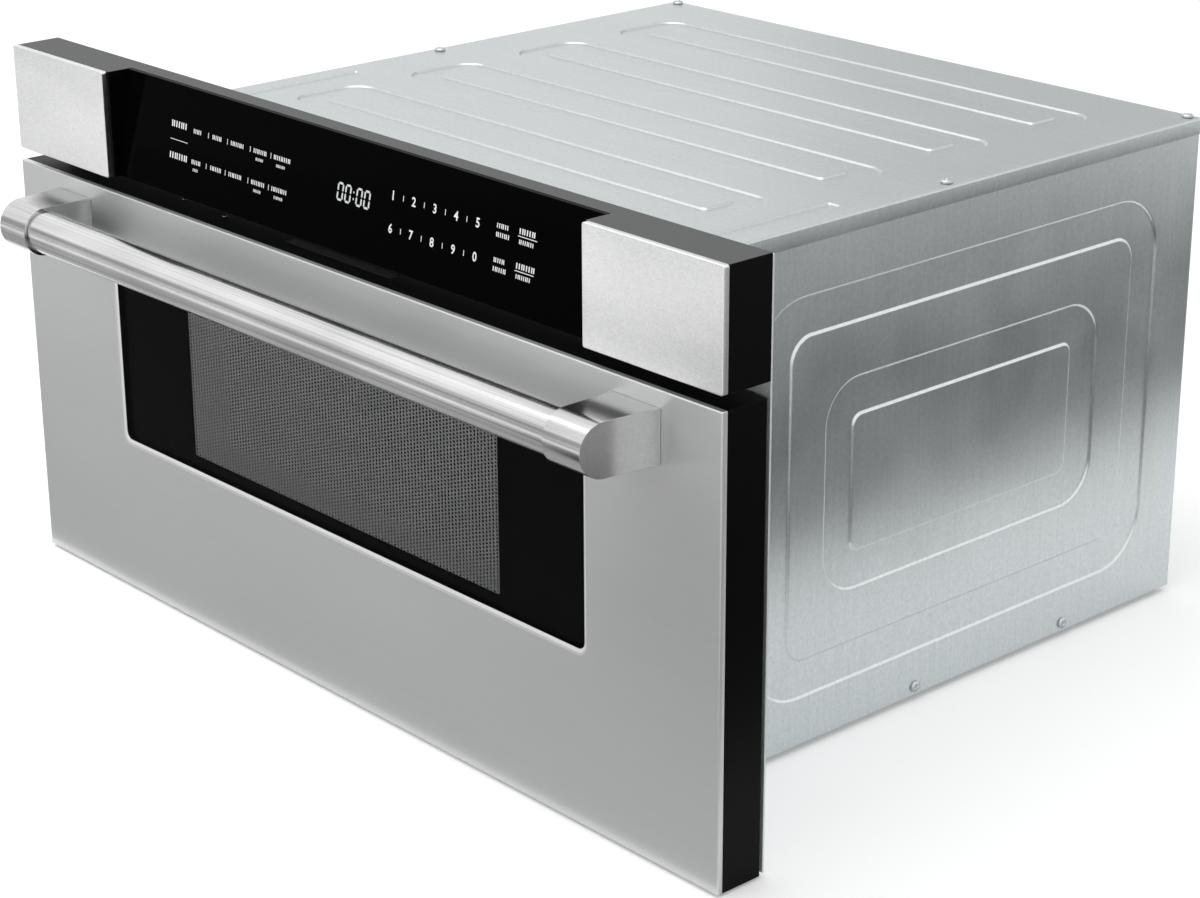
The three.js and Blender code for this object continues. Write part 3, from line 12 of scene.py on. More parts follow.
import bmesh
import bpy
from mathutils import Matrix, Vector

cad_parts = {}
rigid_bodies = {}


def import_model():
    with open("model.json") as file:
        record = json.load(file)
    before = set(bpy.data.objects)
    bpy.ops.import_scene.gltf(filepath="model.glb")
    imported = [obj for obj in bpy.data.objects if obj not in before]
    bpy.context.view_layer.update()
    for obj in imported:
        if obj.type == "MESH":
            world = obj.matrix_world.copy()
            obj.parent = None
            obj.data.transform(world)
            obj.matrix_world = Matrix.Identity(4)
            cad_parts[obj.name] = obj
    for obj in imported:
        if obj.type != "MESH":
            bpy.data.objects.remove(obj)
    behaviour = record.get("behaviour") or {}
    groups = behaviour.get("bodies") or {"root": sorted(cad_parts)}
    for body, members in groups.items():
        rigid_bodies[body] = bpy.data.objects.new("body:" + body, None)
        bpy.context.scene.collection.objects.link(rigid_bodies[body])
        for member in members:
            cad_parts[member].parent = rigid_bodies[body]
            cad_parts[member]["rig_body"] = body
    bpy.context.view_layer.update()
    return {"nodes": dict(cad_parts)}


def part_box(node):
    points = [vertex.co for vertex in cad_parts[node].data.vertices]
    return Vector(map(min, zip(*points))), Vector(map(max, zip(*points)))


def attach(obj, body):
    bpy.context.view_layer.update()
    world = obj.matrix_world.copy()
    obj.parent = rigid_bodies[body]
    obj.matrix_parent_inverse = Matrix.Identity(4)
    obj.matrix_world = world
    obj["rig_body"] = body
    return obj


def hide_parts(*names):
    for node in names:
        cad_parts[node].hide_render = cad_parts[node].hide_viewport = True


MM = 0.001
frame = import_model()
nodes = frame["nodes"]

# %% [markdown]
# The camera comes first. The photograph was taken from the front right, a little above, with a long lens, so
# upright edges stay nearly parallel. The camera's place and turn were worked out from the front's straight
# edges, so it is placed from the drawer's steel face. One function puts every new object into the scene.


# %% Camera
FOCAL_LENGTH_MM, SENSOR_MM = 85.766, 36
CAMERA_RIGHT, CAMERA_FORWARD, CAMERA_UP = 1.475479, 1.073517, 0.876714
CAMERA_TURN_DEG = (69.1911, 0.2784, 48.0989)


def add_object(name, data):
    thing = bpy.data.objects.new(name, data)
    bpy.context.scene.collection.objects.link(thing)
    return thing


camera = add_object("camera", bpy.data.cameras.new("camera"))
camera.data.sensor_width = SENSOR_MM
camera.data.lens = FOCAL_LENGTH_MM
face_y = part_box("door_skin")[0].y
camera.location = (CAMERA_RIGHT, face_y - CAMERA_FORWARD, CAMERA_UP)
camera.rotation_euler = [math.radians(angle) for angle in CAMERA_TURN_DEG]
bpy.context.scene.camera = camera
print("camera", round(camera.data.lens, 1), "mm lens")

# %% [markdown]
# ## Tools for materials
# A maker gives colours as sRGB hex values, and Blender wants linear ones, so one function turns them. Every
# node is added by one function too, which takes its settings, and values or links for its inputs. A pattern
# reads Object coordinates divided by a real size, so it keeps its scale and stays on its piece.


# %% Colours and nodes
def linear(hex_colour):
    """A hex colour as the linear colour that a socket holds."""
    channels = [int(hex_colour[i:i + 2], 16) / 255 for i in (1, 3, 5)]
    turned = [c / 12.92 if c <= 0.04045 else ((c + 0.055) / 1.055) ** 2.4 for c in channels]
    return (*turned, 1.0)


def add_node(tree, kind, inputs=None, **settings):
    """A new node with its settings, and a value or a link for each of the inputs named."""
    node = tree.nodes.new(kind)
    for name, value in settings.items():
        setattr(node, name, value)
    for key, value in (inputs or {}).items():
        if isinstance(value, bpy.types.NodeSocket):
            tree.links.new(value, node.inputs[key])
        else:
            node.inputs[key].default_value = value
    return node


def emptied_tree(owner):
    """The node tree of a new material or world, with nothing in it."""
    owner.use_nodes = True
    owner.node_tree.nodes.clear()
    return owner.node_tree


def new_finish(name, colour, roughness, metallic=0.0, **sockets):
    """A Principled material with plain values, and its tree and shader for what is added to it."""
    material = bpy.data.materials.new(name)
    tree = emptied_tree(material)
    shader = add_node(tree, "ShaderNodeBsdfPrincipled", {
        "Base Color": linear(colour), "Roughness": roughness, "Metallic": metallic,
        **{key.replace("_", " "): value for key, value in sockets.items()},
    })
    add_node(tree, "ShaderNodeOutputMaterial", {"Surface": shader.outputs["BSDF"]})
    return material, tree, shader


def noise(tree, feature_mm, detail=2.0, roughness=0.5):
    """Noise whose features have that size in millimetres along X, Y and Z."""
    where = add_node(tree, "ShaderNodeTexCoord")
    scale = [1 / (size * MM) for size in feature_mm]
    placed = add_node(tree, "ShaderNodeMapping", {"Vector": where.outputs["Object"], "Scale": scale})
    inputs = {"Vector": placed.outputs[0], "Scale": 1.0, "Detail": detail, "Roughness": roughness}
    return add_node(tree, "ShaderNodeTexNoise", inputs).outputs[0]


def tint(tree, shader, value, dark, light, start=0.3, stop=0.7):
    """Colours a shader from dark, where a value is at start, to light, where it is at stop."""
    share = add_node(tree, "ShaderNodeMapRange", {0: value, 1: start, 2: stop, 3: 0.0, 4: 1.0})
    inputs = {0: share.outputs[0], 6: linear(dark), 7: linear(light)}
    mixed = add_node(tree, "ShaderNodeMix", inputs, data_type="RGBA")
    tree.links.new(mixed.outputs[2], shader.inputs["Base Color"])


def raise_surface(tree, shader, height, distance_mm, strength):
    """A bump of that height in millimetres on the shader."""
    inputs = {"Height": height, "Distance": distance_mm * MM, "Strength": strength}
    bump = add_node(tree, "ShaderNodeBump", inputs)
    tree.links.new(bump.outputs[0], shader.inputs["Normal"])


# %% [markdown]
# ## Stainless steel
# The front is 430 stainless sheet, ground with a belt that ran across its width. The scratches are a few
# hundredths of a millimetre wide, so they are not seen one by one: they stretch reflections upright and leave
# faint streaks along X. The streaks here are drawn about a millimetre wide so that they show. The shader is
# anisotropic: its tangent runs along the scratches and is turned a quarter, so reflections blur across them.
# The window's coined edge has no scratches, so it is even; its pure white colour is a painted highlight,
# the bright line round the window. The posts are smoother and mirror more, and the fascia's ends are ground
# in no one direction.


# %% Brushed stainless
CLOUD_MM = (160, 160, 60)


def brushed_stainless(name, light, dark, roughness, streak_mm, anisotropy, relief_mm):
    material, tree, shader = new_finish(
        name, light, roughness, 1.0, Anisotropic=anisotropy, Anisotropic_Rotation=0.25)
    streaks = noise(tree, streak_mm, detail=3.0, roughness=0.6)
    clouds = noise(tree, CLOUD_MM)
    both = add_node(tree, "ShaderNodeMath", {0: streaks, 1: clouds}, operation="ADD")
    tint(tree, shader, both.outputs[0], dark, light, start=0.7, stop=1.3)
    along_x = add_node(tree, "ShaderNodeCombineXYZ", {"X": 1.0})
    tree.links.new(along_x.outputs[0], shader.inputs["Tangent"])
    raise_surface(tree, shader, streaks, relief_mm, strength=0.5)
    return material


# Light and dark colour, roughness, streaks in mm along X, Y and Z, anisotropy, and relief in mm
STAINLESS = {
    "brushed_stainless": ("#E5E7E6", "#E1E3E2", 0.4, (120, 1.1, 1.1), 0.7, 0.001),
    # The coined edge is pure white: a painted highlight for the bright line round the window
    "coined_stainless_painted_highlight": ("#FFFFFF", "#FFFFFF", 0.6, (120, 1.1, 1.1), 0.0, 0.001),
    "bright_brushed_stainless": ("#FFFFFF", "#E2E4E3", 0.3, (1.8, 1.2, 1.0), 0.2, 0.01),
    "handle_stainless": ("#F6F6F6", "#B8B9B9", 0.2, (420, 1.2, 1.2), 0.5, 0.03),
    "satin_stainless": ("#DEDEDE", "#CACACA", 0.18, (60, 1.6, 1.6), 0.4, 0.006),
}
skin_steel, edge_steel_painted_highlight, cap_steel, handle_steel, post_steel = [
    brushed_stainless(name, *looks) for name, looks in STAINLESS.items()]
print("stainless finishes:", *STAINLESS)

# %% [markdown]
# ## Galvanised sheet
# The cabinet is hot-dip galvanised steel. The zinc freezes into crystals a few millimetres wide, the spangle,
# and each takes the light a little differently. Rolling leaves faint lines as well. The colour is a cool
# light grey, and the roughness is what keeps reflections of the room from showing more than their tone.


# %% Galvanised
SPANGLE_MM = (3, 3, 3)
DULL_PATCH_MM = (60, 60, 60)
LINES_SHARE = 0.35


def galvanised_sheet(name, light, dark, roughness, lines_mm):
    material, tree, shader = new_finish(name, light, roughness, 1.0)
    crystals = noise(tree, SPANGLE_MM, detail=3.0, roughness=0.75)
    lines = noise(tree, lines_mm)
    both = add_node(tree, "ShaderNodeMath", {0: lines, 1: LINES_SHARE, 2: crystals}, operation="MULTIPLY_ADD")
    tint(tree, shader, both.outputs[0], dark, light, start=0.45, stop=0.9)
    patches = noise(tree, DULL_PATCH_MM)
    inputs = {0: patches, 1: 0.3, 2: 0.7, 3: roughness - 0.02, 4: roughness + 0.03}
    rough = add_node(tree, "ShaderNodeMapRange", inputs)
    tree.links.new(rough.outputs[0], shader.inputs["Roughness"])
    return material


# The lid and the sides are one sheet in two tones: the lid's darker, painted shade against the strong light on
# it, and the sides' lighter, painted light. Only their rolled lines differ for real.
# Light and dark colour, roughness, and rolled lines in mm along X, Y and Z
GALVANISED = {
    "galvanised_lid_painted_shade": ("#CCD1D2", "#BEC3C4", 0.34, (220, 2.2, 2.2)),
    "galvanised_side": ("#E8EEEF", "#D6DCDD", 0.3, (2.2, 2.2, 90)),
    # The flange's tone is the sheet made lighter, painted light so that the flange in the gap looks lit
    "galvanised_flange_painted_light": ("#F0F4F5", "#E6EAEB", 0.6, (60, 60, 60)),
    "galvanised_inner": ("#B4B9BA", "#A5AAAC", 0.45, (60, 60, 60)),
}
lid_zinc_painted_shade, side_zinc_painted_light, flange_zinc_painted_light, inner_zinc = [
    galvanised_sheet(name, *looks) for name, looks in GALVANISED.items()]
print("galvanised finishes:", *GALVANISED)

# %% [markdown]
# ## Plastics, glass, enamel and the rest
# The frames behind the steel are ABS, moulded black with a fine grain that dulls reflections. The key panel
# is tempered glass with black print on its back, and so is the window's border: both look deep and smooth.
# The cavity is enamelled and the drawer's floor is a glass-ceramic plate, with fine specks under a glossy
# skin. Plated and plain metals inside are even, with only a faint change of tone.


# %% Plainer finishes
def moulded_plastic(name, colour, roughness, grain_mm=0.9, gloss=0.5):
    material, tree, shader = new_finish(name, colour, roughness, IOR=1.5, Specular_IOR_Level=gloss)
    raise_surface(tree, shader, noise(tree, [grain_mm] * 3, detail=1.0), distance_mm=0.02, strength=0.25)
    return material


def smooth_metal(name, light, dark, roughness, feature_mm=(30, 30, 30)):
    material, tree, shader = new_finish(name, light, roughness, 1.0)
    tint(tree, shader, noise(tree, feature_mm), dark, light)
    return material


def enamel(name, colour, speck, roughness, speck_mm=1.4, ripple_mm=4):
    material, tree, shader = new_finish(name, colour, roughness, IOR=1.55, Coat_Weight=0.3)
    tint(tree, shader, noise(tree, [speck_mm] * 3, detail=0.0), colour, speck, start=0.62, stop=0.72)
    raise_surface(tree, shader, noise(tree, [ripple_mm] * 3), distance_mm=0.02, strength=0.3)
    return material


def tempered_glass(name, colour, gloss, **sockets):
    return new_finish(name, colour, 0.05, IOR=1.52, Specular_IOR_Level=gloss, **sockets)[0]


frame_abs = moulded_plastic("black_abs", "#040404", 0.35, gloss=0.08)
# A lighter grey for the fascia's top faces: painted light from above, with a coarser grain
textured_abs = moulded_plastic("textured_abs", "#5A5B5B", 0.6, grain_mm=0.7, gloss=0.1)
inner_abs = moulded_plastic("grey_abs", "#45484A", 0.5)
white_pom = moulded_plastic("white_acetal", "#DEDEDA", 0.45)
black_rubber = moulded_plastic("black_rubber", "#161617", 0.6)
cavity_enamel = enamel("grey_enamel", "#9A9C9E", "#7C7E80", 0.32)
tray_ceramic = enamel("glass_ceramic", "#E2E0DA", "#D4D2CC", 0.12)
mica_sheet = moulded_plastic("mica_board", "#BDB6A4", 0.55, grain_mm=2.5)
zinc_screw = smooth_metal("zinc_plated_screw", "#D4D6D8", "#B9BCBF", 0.25, (2, 2, 2))
rail_steel = smooth_metal("zinc_plated_steel", "#BFC2C4", "#AFB2B5", 0.34)
inner_aluminium = smooth_metal("plain_aluminium", "#CFCFD1", "#BEBEC1", 0.38)
copper_winding = smooth_metal("lacquered_copper", "#B4693C", "#9A5530", 0.35, (2, 40, 2))
circuit_board = moulded_plastic("solder_mask", "#1F5A33", 0.35, grain_mm=3.0)
screen_steel = smooth_metal("screen_steel", "#FFFFFF", "#F6F8FA", 0.45)
key_glass = tempered_glass("black_printed_glass", "#050506", 0.008)
border_glass = tempered_glass("window_border_glass", "#0A0A0B", 0.025)
clear_glass = tempered_glass("window_clear_glass", "#0C0D0E", 0.04, Alpha=0.3)
white_print = new_finish("white_print", "#F4F4F4", 0.5)[0]
display_print = new_finish("display_segments", "#D9DBDD", 0.5)[0]
print("finishes, with the packed ones:", len(bpy.data.materials))

# %% [markdown]
# ## Tools for meshes
# Every piece is a mesh at the origin that rides on one of the model's bodies. A finished piece is shaded
# smooth, and its normals are weighted by the size of the faces, so that flats stay flat beside small bends.
# What has no bends is shaded flat.


# %% Making pieces
def settle(piece, body, slot, *replaced):
    """Puts a finished piece on its body, in place of the nodes that it stands for."""
    if replaced:
        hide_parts(*replaced)
    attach(piece, body)
    return piece


def mesh_from(name, bm):
    """The mesh of a bmesh, which is freed."""
    mesh = bpy.data.meshes.new(name)
    bm.to_mesh(mesh)
    bm.free()
    return mesh


def piece_from(name, bm, materials, smooth=True):
    """A mesh object from a bmesh, shaded smooth or flat."""
    mesh = mesh_from(name, bm)
    for material in materials:
        mesh.materials.append(material)
    if smooth:
        mesh.shade_smooth()
    else:
        mesh.shade_flat()
    return add_object(name, mesh)


def weight_normals(piece):
    weighting = piece.modifiers.new("Weighted normals", "WEIGHTED_NORMAL")
    weighting.weight = 100
    weighting.keep_sharp = False
    return piece


def round_edges(piece, radius, segments, sharp_deg):
    """Rounds every edge that is sharper than an angle."""
    bevel = piece.modifiers.new("Edge radius", "BEVEL")
    bevel.width = radius
    bevel.segments = segments
    bevel.limit_method = "ANGLE"
    bevel.angle_limit = math.radians(sharp_deg)
    return weight_normals(piece)


# %% [markdown]
# Many pieces only lack the small radii that a punch, a mould or a deburring brush leaves on every edge. A
# copy of the node has its loose triangles merged and its flat faces joined, and then a bevel rounds what is
# sharper than 30 degrees. The radius stays under half of the wall, or its two bevels would meet.


# %% Softened copies
MERGE_DISTANCE = 0.005 * MM
FLAT_DEG, SHARP_DEG = 0.5, 30


def softened(node, material, radius_mm, slot):
    bm = bmesh.new()
    bm.from_mesh(nodes[node].data)
    bmesh.ops.remove_doubles(bm, verts=bm.verts, dist=MERGE_DISTANCE)
    bmesh.ops.dissolve_limit(bm, angle_limit=math.radians(FLAT_DEG), verts=bm.verts, edges=bm.edges)
    piece = piece_from(node + "_finished", bm, [material])
    round_edges(piece, radius_mm * MM, 2, SHARP_DEG)
    return settle(piece, nodes[node]["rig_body"], slot, node)


# %% [markdown]
# ## Pressed sheet
# A panel is built as a die would draw it: closed loops of points at their heights, joined by walls, with the
# flats between them filled. Each wall of a pressed channel is an S with a round top and a round foot. These
# narrow slopes catch the light and draw the thin bright lines on the lid and the sides.


# %% Loops, walls and flats
def quads_between(first, second):
    """The corners of each face between two closed loops with as many points."""
    for i in range(len(first)):
        j = (i + 1) % len(first)
        yield first[i], first[j], second[j], second[i]


class PressedSheet:
    """A sheet under construction. place turns (u, v, height) in metres into a point of the model."""

    def __init__(self, place):
        self.bm = bmesh.new()
        self.place = place

    def loop(self, points, height):
        return [self.bm.verts.new(self.place(u, v, height)) for u, v in points]

    def wall(self, first, second, skip=None):
        """Faces between two loops, but for those whose corners skip says."""
        for corners in quads_between(first, second):
            if not (skip and skip(corners)):
                self.bm.faces.new(corners)

    def stack(self, levels, skip=None):
        """Loops at (points, height), each joined to the next. Returns the first and the last."""
        loops = [self.loop(points, height) for points, height in levels]
        for first, second in zip(loops, loops[1:]):
            self.wall(first, second, skip)
        return loops[0], loops[-1]

    def flat(self, *loops):
        """One flat face between loops of the same height."""
        edges = []
        for loop in loops:
            for i, vert in enumerate(loop):
                pair = (vert, loop[(i + 1) % len(loop)])
                edges.append(self.bm.edges.get(pair) or self.bm.edges.new(pair))
        bmesh.ops.triangle_fill(self.bm, edges=edges, use_beauty=True)

    def finish(self, outward):
        """Merges what coincides and turns the faces outward."""
        bmesh.ops.remove_doubles(self.bm, verts=self.bm.verts, dist=0.002 * MM)
        bmesh.ops.recalc_face_normals(self.bm, faces=self.bm.faces)
        largest = max(self.bm.faces, key=lambda face: face.calc_area())
        if largest.normal.dot(Vector(outward)) < 0:
            bmesh.ops.reverse_faces(self.bm, faces=self.bm.faces)
        return self.bm


def round_rectangle(us, vs, radii, steps=8):
    """Points round a rectangle, anticlockwise from its low-v high-u corner. radii is one value or four."""
    radii = radii if isinstance(radii, (list, tuple)) else [radii] * 4
    (u0, u1), (v0, v1) = us, vs
    corners = [(u1, v0, -1, 1, -90), (u1, v1, -1, -1, 0), (u0, v1, 1, -1, 90), (u0, v0, 1, 1, 180)]
    points = []
    for (u, v, to_u, to_v, start), radius in zip(corners, radii):
        for i in range(steps + 1 if radius else 1):
            angle = math.radians(start + 90 * i / steps)
            points.append((u + radius * (to_u + math.cos(angle)), v + radius * (to_v + math.sin(angle))))
    return points


def grown(pair, by):
    return (pair[0] - by, pair[1] + by)


def grown_outline(shape, by, least_corner=0.0, steps=8):
    """Points round a round rectangle (us, vs, corner) that grew by a distance on every side."""
    us, vs, corner = shape
    return round_rectangle(grown(us, by), grown(vs, by), max(corner + by, least_corner), steps)


# %% [markdown]
# There are three ways to leave a flat: down the S of a channel's wall, across a channel from its outer wall
# to its inner one, and over the bend at a sheet's edge.


# %% Channels and bends
CHANNEL_WALL = 2.2 * MM
CHANNEL_STEPS = 6
LEAST_CORNER = 0.3 * MM


def channel_wall(shape, depth, sign=1, corner_steps=8):
    """Levels of a pressed wall from its top to its foot. sign is -1 where the foot is outside."""
    levels = []
    for i in range(CHANNEL_STEPS + 1):
        share = i / CHANNEL_STEPS
        by = sign * (CHANNEL_WALL / 2 - CHANNEL_WALL * share)
        down = depth * (1 - math.cos(math.pi * share)) / 2
        levels.append((grown_outline(shape, by, LEAST_CORNER, corner_steps), -down))
    return levels


def pressed_channel(sheet, outer, inner, depth, corner_steps=8):
    """Presses the band between two round rectangles, each (us, vs, corner). Returns its two top loops."""
    outer_top, outer_foot = sheet.stack(channel_wall(outer, depth, 1, corner_steps))
    inner_top, inner_foot = sheet.stack(channel_wall(inner, depth, -1, corner_steps))
    sheet.wall(outer_foot, inner_foot)
    return outer_top, inner_top


def bend_levels(outline_at, radius, depth, steps=4):
    """Levels that bend an edge over and run down to a depth. outline_at takes how far out the bend is."""
    levels = []
    for i in range(steps + 1):
        angle = math.radians(90 * i / steps)
        levels.append((outline_at(radius * math.sin(angle)), -radius * (1 - math.cos(angle))))
    levels.append((levels[-1][0], -depth))
    return levels


# %% [markdown]
# ## The lid
# One galvanised sheet with a lip bent down at both sides and at the back. Four closed channels are pressed
# across it to stop it drumming, and two short ones run back from its front edge. It is drawn as the sheet's
# outer skin and then given its 0.8 mm. The lips face sideways as the side panels do and take their lighter
# tone and rolled lines: the tone is painted light, given by which way a face looks.


# %% Lid
SHEET = 0.8 * MM
LID_BEND = 1.6 * MM
LID_CORNER = 0.4 * MM
LIP_NORMAL = 0.9
RIB_DEPTH = 1.4 * MM
RIB_COUNT = 4
RIB_FRONT = 95 * MM
RIB_PITCH = 107.7 * MM
RIB_LENGTH = 66.6 * MM
RIB_SIDE = 52.1 * MM
RIB_BAND = 20 * MM
RIB_CORNER = 18 * MM
RIB_INNER_CORNER = 4 * MM
STRIP_SIDE = 18.1 * MM
STRIP_WIDTH = 10 * MM
STRIP_FRONT = 1 * MM
STRIP_BACK = 183.8 * MM
STRIP_DEPTH = 1.2 * MM
STRIP_CORNER = 2 * MM


def thicken(piece, wall):
    solidify = piece.modifiers.new("Sheet thickness", "SOLIDIFY")
    solidify.thickness = wall
    solidify.offset = -1
    return weight_normals(piece)


def make_lid():
    low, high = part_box("top_cover")
    us, vs = (low.x, high.x), (low.y, high.y)
    sheet = PressedSheet(lambda u, v, height: (u, v, high.z + height))

    def outline_at(out):
        edge_us = (us[0] + LID_BEND - out, us[1] - LID_BEND + out)
        corner = LID_CORNER + out
        return round_rectangle(edge_us, (vs[0], vs[1] - LID_BEND + out), [0.0, corner, corner, 0.0])

    def on_front(corners):
        return all(abs(vert.co.y - low.y) < 0.001 * MM for vert in corners)

    edge, _ = sheet.stack(bend_levels(outline_at, LID_BEND, high.z - low.z), skip=on_front)
    flats = [edge]
    for i in range(RIB_COUNT):
        front = low.y + RIB_FRONT + i * RIB_PITCH
        rib_us = grown(us, -RIB_SIDE)
        rib_vs = (front, front + RIB_LENGTH)
        inner = (grown(rib_us, -RIB_BAND), grown(rib_vs, -RIB_BAND), RIB_INNER_CORNER)
        outer_top, inner_top = pressed_channel(sheet, (rib_us, rib_vs, RIB_CORNER), inner, RIB_DEPTH)
        flats.append(outer_top)
        sheet.flat(inner_top)
    for side in (-1, 1):
        end = side * (high.x - STRIP_SIDE)
        strip_us = tuple(sorted((end, end - side * STRIP_WIDTH)))
        strip = (strip_us, (low.y + STRIP_FRONT, low.y + STRIP_BACK), STRIP_CORNER)
        top, foot = sheet.stack(channel_wall(strip, STRIP_DEPTH))
        flats.append(top)
        sheet.flat(foot)
    sheet.flat(*flats)
    bm = sheet.finish((0, 0, 1))
    # Faces that look sideways, the lips, get the side's lighter tone: painted light chosen by facing
    for face in bm.faces:
        if abs(face.normal.x) > LIP_NORMAL:
            face.material_index = 1
    piece = thicken(piece_from("lid_sheet", bm, [lid_zinc_painted_shade, side_zinc_painted_light]), SHEET)
    return settle(piece, "cabinet", "galvanised", "top_cover")


lid = make_lid()
print("lid:", len(lid.data.polygons), "faces before its thickness")

# %% [markdown]
# ## The side panels
# Each side has two closed channels, one inside the other, whose outer corners are wide and whose inner ones
# are tight, as the photograph shows. The top edge is bent inward under the lid.


# %% Side panels
SIDE_WALL = 1 * MM
SIDE_BEND = 2 * MM
SIDE_DEPTH = 1.3 * MM
# Each channel in mm: its distances from the sheet's front, back, bottom and top, its outer corner, its width
# in front, behind, and above and below, and its inner corner
SIDE_CHANNELS = [
    ((93.8, 42.0, 34.8, 46.0), 42, (31, 27, 27), 18),
    ((158.3, 104.0, 100.7, 111.3), 31, (25.5, 29, 27), 8),
]


def make_side(name, side):
    low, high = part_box("side_panel_" + name)
    outer_x = high.x if side > 0 else low.x
    us, vs = (low.y, high.y), (low.z, high.z)
    sheet = PressedSheet(lambda u, v, height: (outer_x + side * height, u, v))

    def outline_at(out):
        return round_rectangle(us, (vs[0], vs[1] - SIDE_BEND + out), 0.0)

    def not_top(corners):
        return not all(vert.co.z > high.z - SIDE_BEND - 0.1 * MM for vert in corners)

    edge, _ = sheet.stack(bend_levels(outline_at, SIDE_BEND, high.x - low.x), skip=not_top)
    flats = [edge]
    for (front, back, bottom, top), corner, widths, inner_corner in SIDE_CHANNELS:
        front_width, back_width, level_width = widths
        outer_us = (us[0] + front * MM, us[1] - back * MM)
        outer_vs = (vs[0] + bottom * MM, vs[1] - top * MM)
        inner_us = (outer_us[0] + front_width * MM, outer_us[1] - back_width * MM)
        outer = (outer_us, outer_vs, corner * MM)
        inner = (inner_us, grown(outer_vs, -level_width * MM), inner_corner * MM)
        outer_top, inner_top = pressed_channel(sheet, outer, inner, SIDE_DEPTH, corner_steps=12)
        sheet.flat(*flats, outer_top)
        flats = [inner_top]
    sheet.flat(*flats)
    # The side takes the lighter tone of the sheet, painted light
    piece = thicken(piece_from("side_sheet_" + name, sheet.finish((side, 0, 0)), [side_zinc_painted_light]), SIDE_WALL)
    return settle(piece, "cabinet", "galvanised", "side_panel_" + name)


side_sheets = [make_side("left", -1), make_side("right", 1)]
print("side panels:", [len(piece.data.polygons) for piece in side_sheets], "faces")

# %% [markdown]
# ## Pan head screws
# Every screw is the same zinc plated pan head with a cross recess, so one head is modelled and Geometry Nodes
# set it on points. Each point carries the direction that its screw looks in. The cross is cut by four narrow
# wedges that slope to the middle.


# %% One screw head
SCREW_RADIUS = 4.2 * MM
SCREW_HEIGHT = 2.3 * MM
SCREW_RINGS, SCREW_SPOKES = 9, 32
DOME_DROP = 0.55
CROSS_REACH = 0.5
CROSS_HALF_WIDTH = 0.11
CROSS_DEPTH = 0.62
CROSS_LEAST_DEPTH = 0.15 * MM


def head_height(x, y, share):
    """The height of the head at a point that lies at a share of its radius, lowered in the cross."""
    dome = SCREW_HEIGHT * (1 - DOME_DROP * share ** 4)
    narrow = min(abs(x), abs(y)) / SCREW_RADIUS
    long = max(abs(x), abs(y)) / SCREW_RADIUS
    if narrow > CROSS_HALF_WIDTH or long > CROSS_REACH:
        return dome
    return dome - (CROSS_DEPTH * SCREW_HEIGHT * (1 - long / (CROSS_REACH * 1.15)) + CROSS_LEAST_DEPTH)


def screw_head():
    """A pan head that looks along +Z with its seat at the origin."""
    bm = bmesh.new()
    loops = []
    for ring in range(SCREW_RINGS + 1):
        share = ring / SCREW_RINGS
        radius = SCREW_RADIUS * share
        loop = []
        for spoke in range(SCREW_SPOKES):
            angle = 2 * math.pi * spoke / SCREW_SPOKES
            x, y = radius * math.cos(angle), radius * math.sin(angle)
            loop.append(bm.verts.new((x, y, head_height(x, y, share))))
        loops.append(loop)
    loops.append([bm.verts.new((vert.co.x, vert.co.y, 0)) for vert in loops[-1]])
    for first, second in zip(loops, loops[1:]):
        for i in range(SCREW_SPOKES):
            j = (i + 1) % SCREW_SPOKES
            bm.faces.new((first[i], second[i], second[j], first[j]))
    bm.faces.new(list(reversed(loops[-1])))
    bmesh.ops.remove_doubles(bm, verts=bm.verts, dist=0.01 * MM)
    bmesh.ops.recalc_face_normals(bm, faces=bm.faces)
    mesh = mesh_from("screw_head", bm)
    mesh.shade_smooth()
    return add_object("screw_head", mesh)


screw_source = screw_head()
print("screw head:", len(screw_source.data.polygons), "faces")

# %% [markdown]
# The tree that sets the screws: it turns one head along each point's direction, sizes it, spins it by a
# random angle with a fixed seed, as screws stop where they stop, realizes the copies and sets their finish.


# %% Screws on points
def node_tree(name, sockets):
    """A geometry node tree with geometry in and out and named inputs, each (name, type, default)."""
    tree = bpy.data.node_groups.new(name, "GeometryNodeTree")
    tree.interface.new_socket("Geometry", in_out="INPUT", socket_type="NodeSocketGeometry")
    tree.interface.new_socket("Geometry", in_out="OUTPUT", socket_type="NodeSocketGeometry")
    for label, kind, value in sockets:
        socket = tree.interface.new_socket(label, in_out="INPUT", socket_type=kind)
        if value is not None:
            socket.default_value = value
    return tree, add_node(tree, "NodeGroupInput"), add_node(tree, "NodeGroupOutput")


def baked(source, name, tree, inputs):
    """The plain mesh that a tree makes of a source object, which goes away with the tree's modifier."""
    modifier = source.modifiers.new(tree.name, "NODES")
    modifier.node_group = tree
    sockets = {item.name: item.identifier for item in tree.interface.items_tree if item.in_out == "INPUT"}
    for label, value in inputs.items():
        modifier[sockets[label]] = value
    mesh = bpy.data.meshes.new_from_object(source.evaluated_get(bpy.context.evaluated_depsgraph_get()))
    mesh.name = name
    bpy.data.objects.remove(source)
    return add_object(name, mesh)


SCREW_SEED = 4


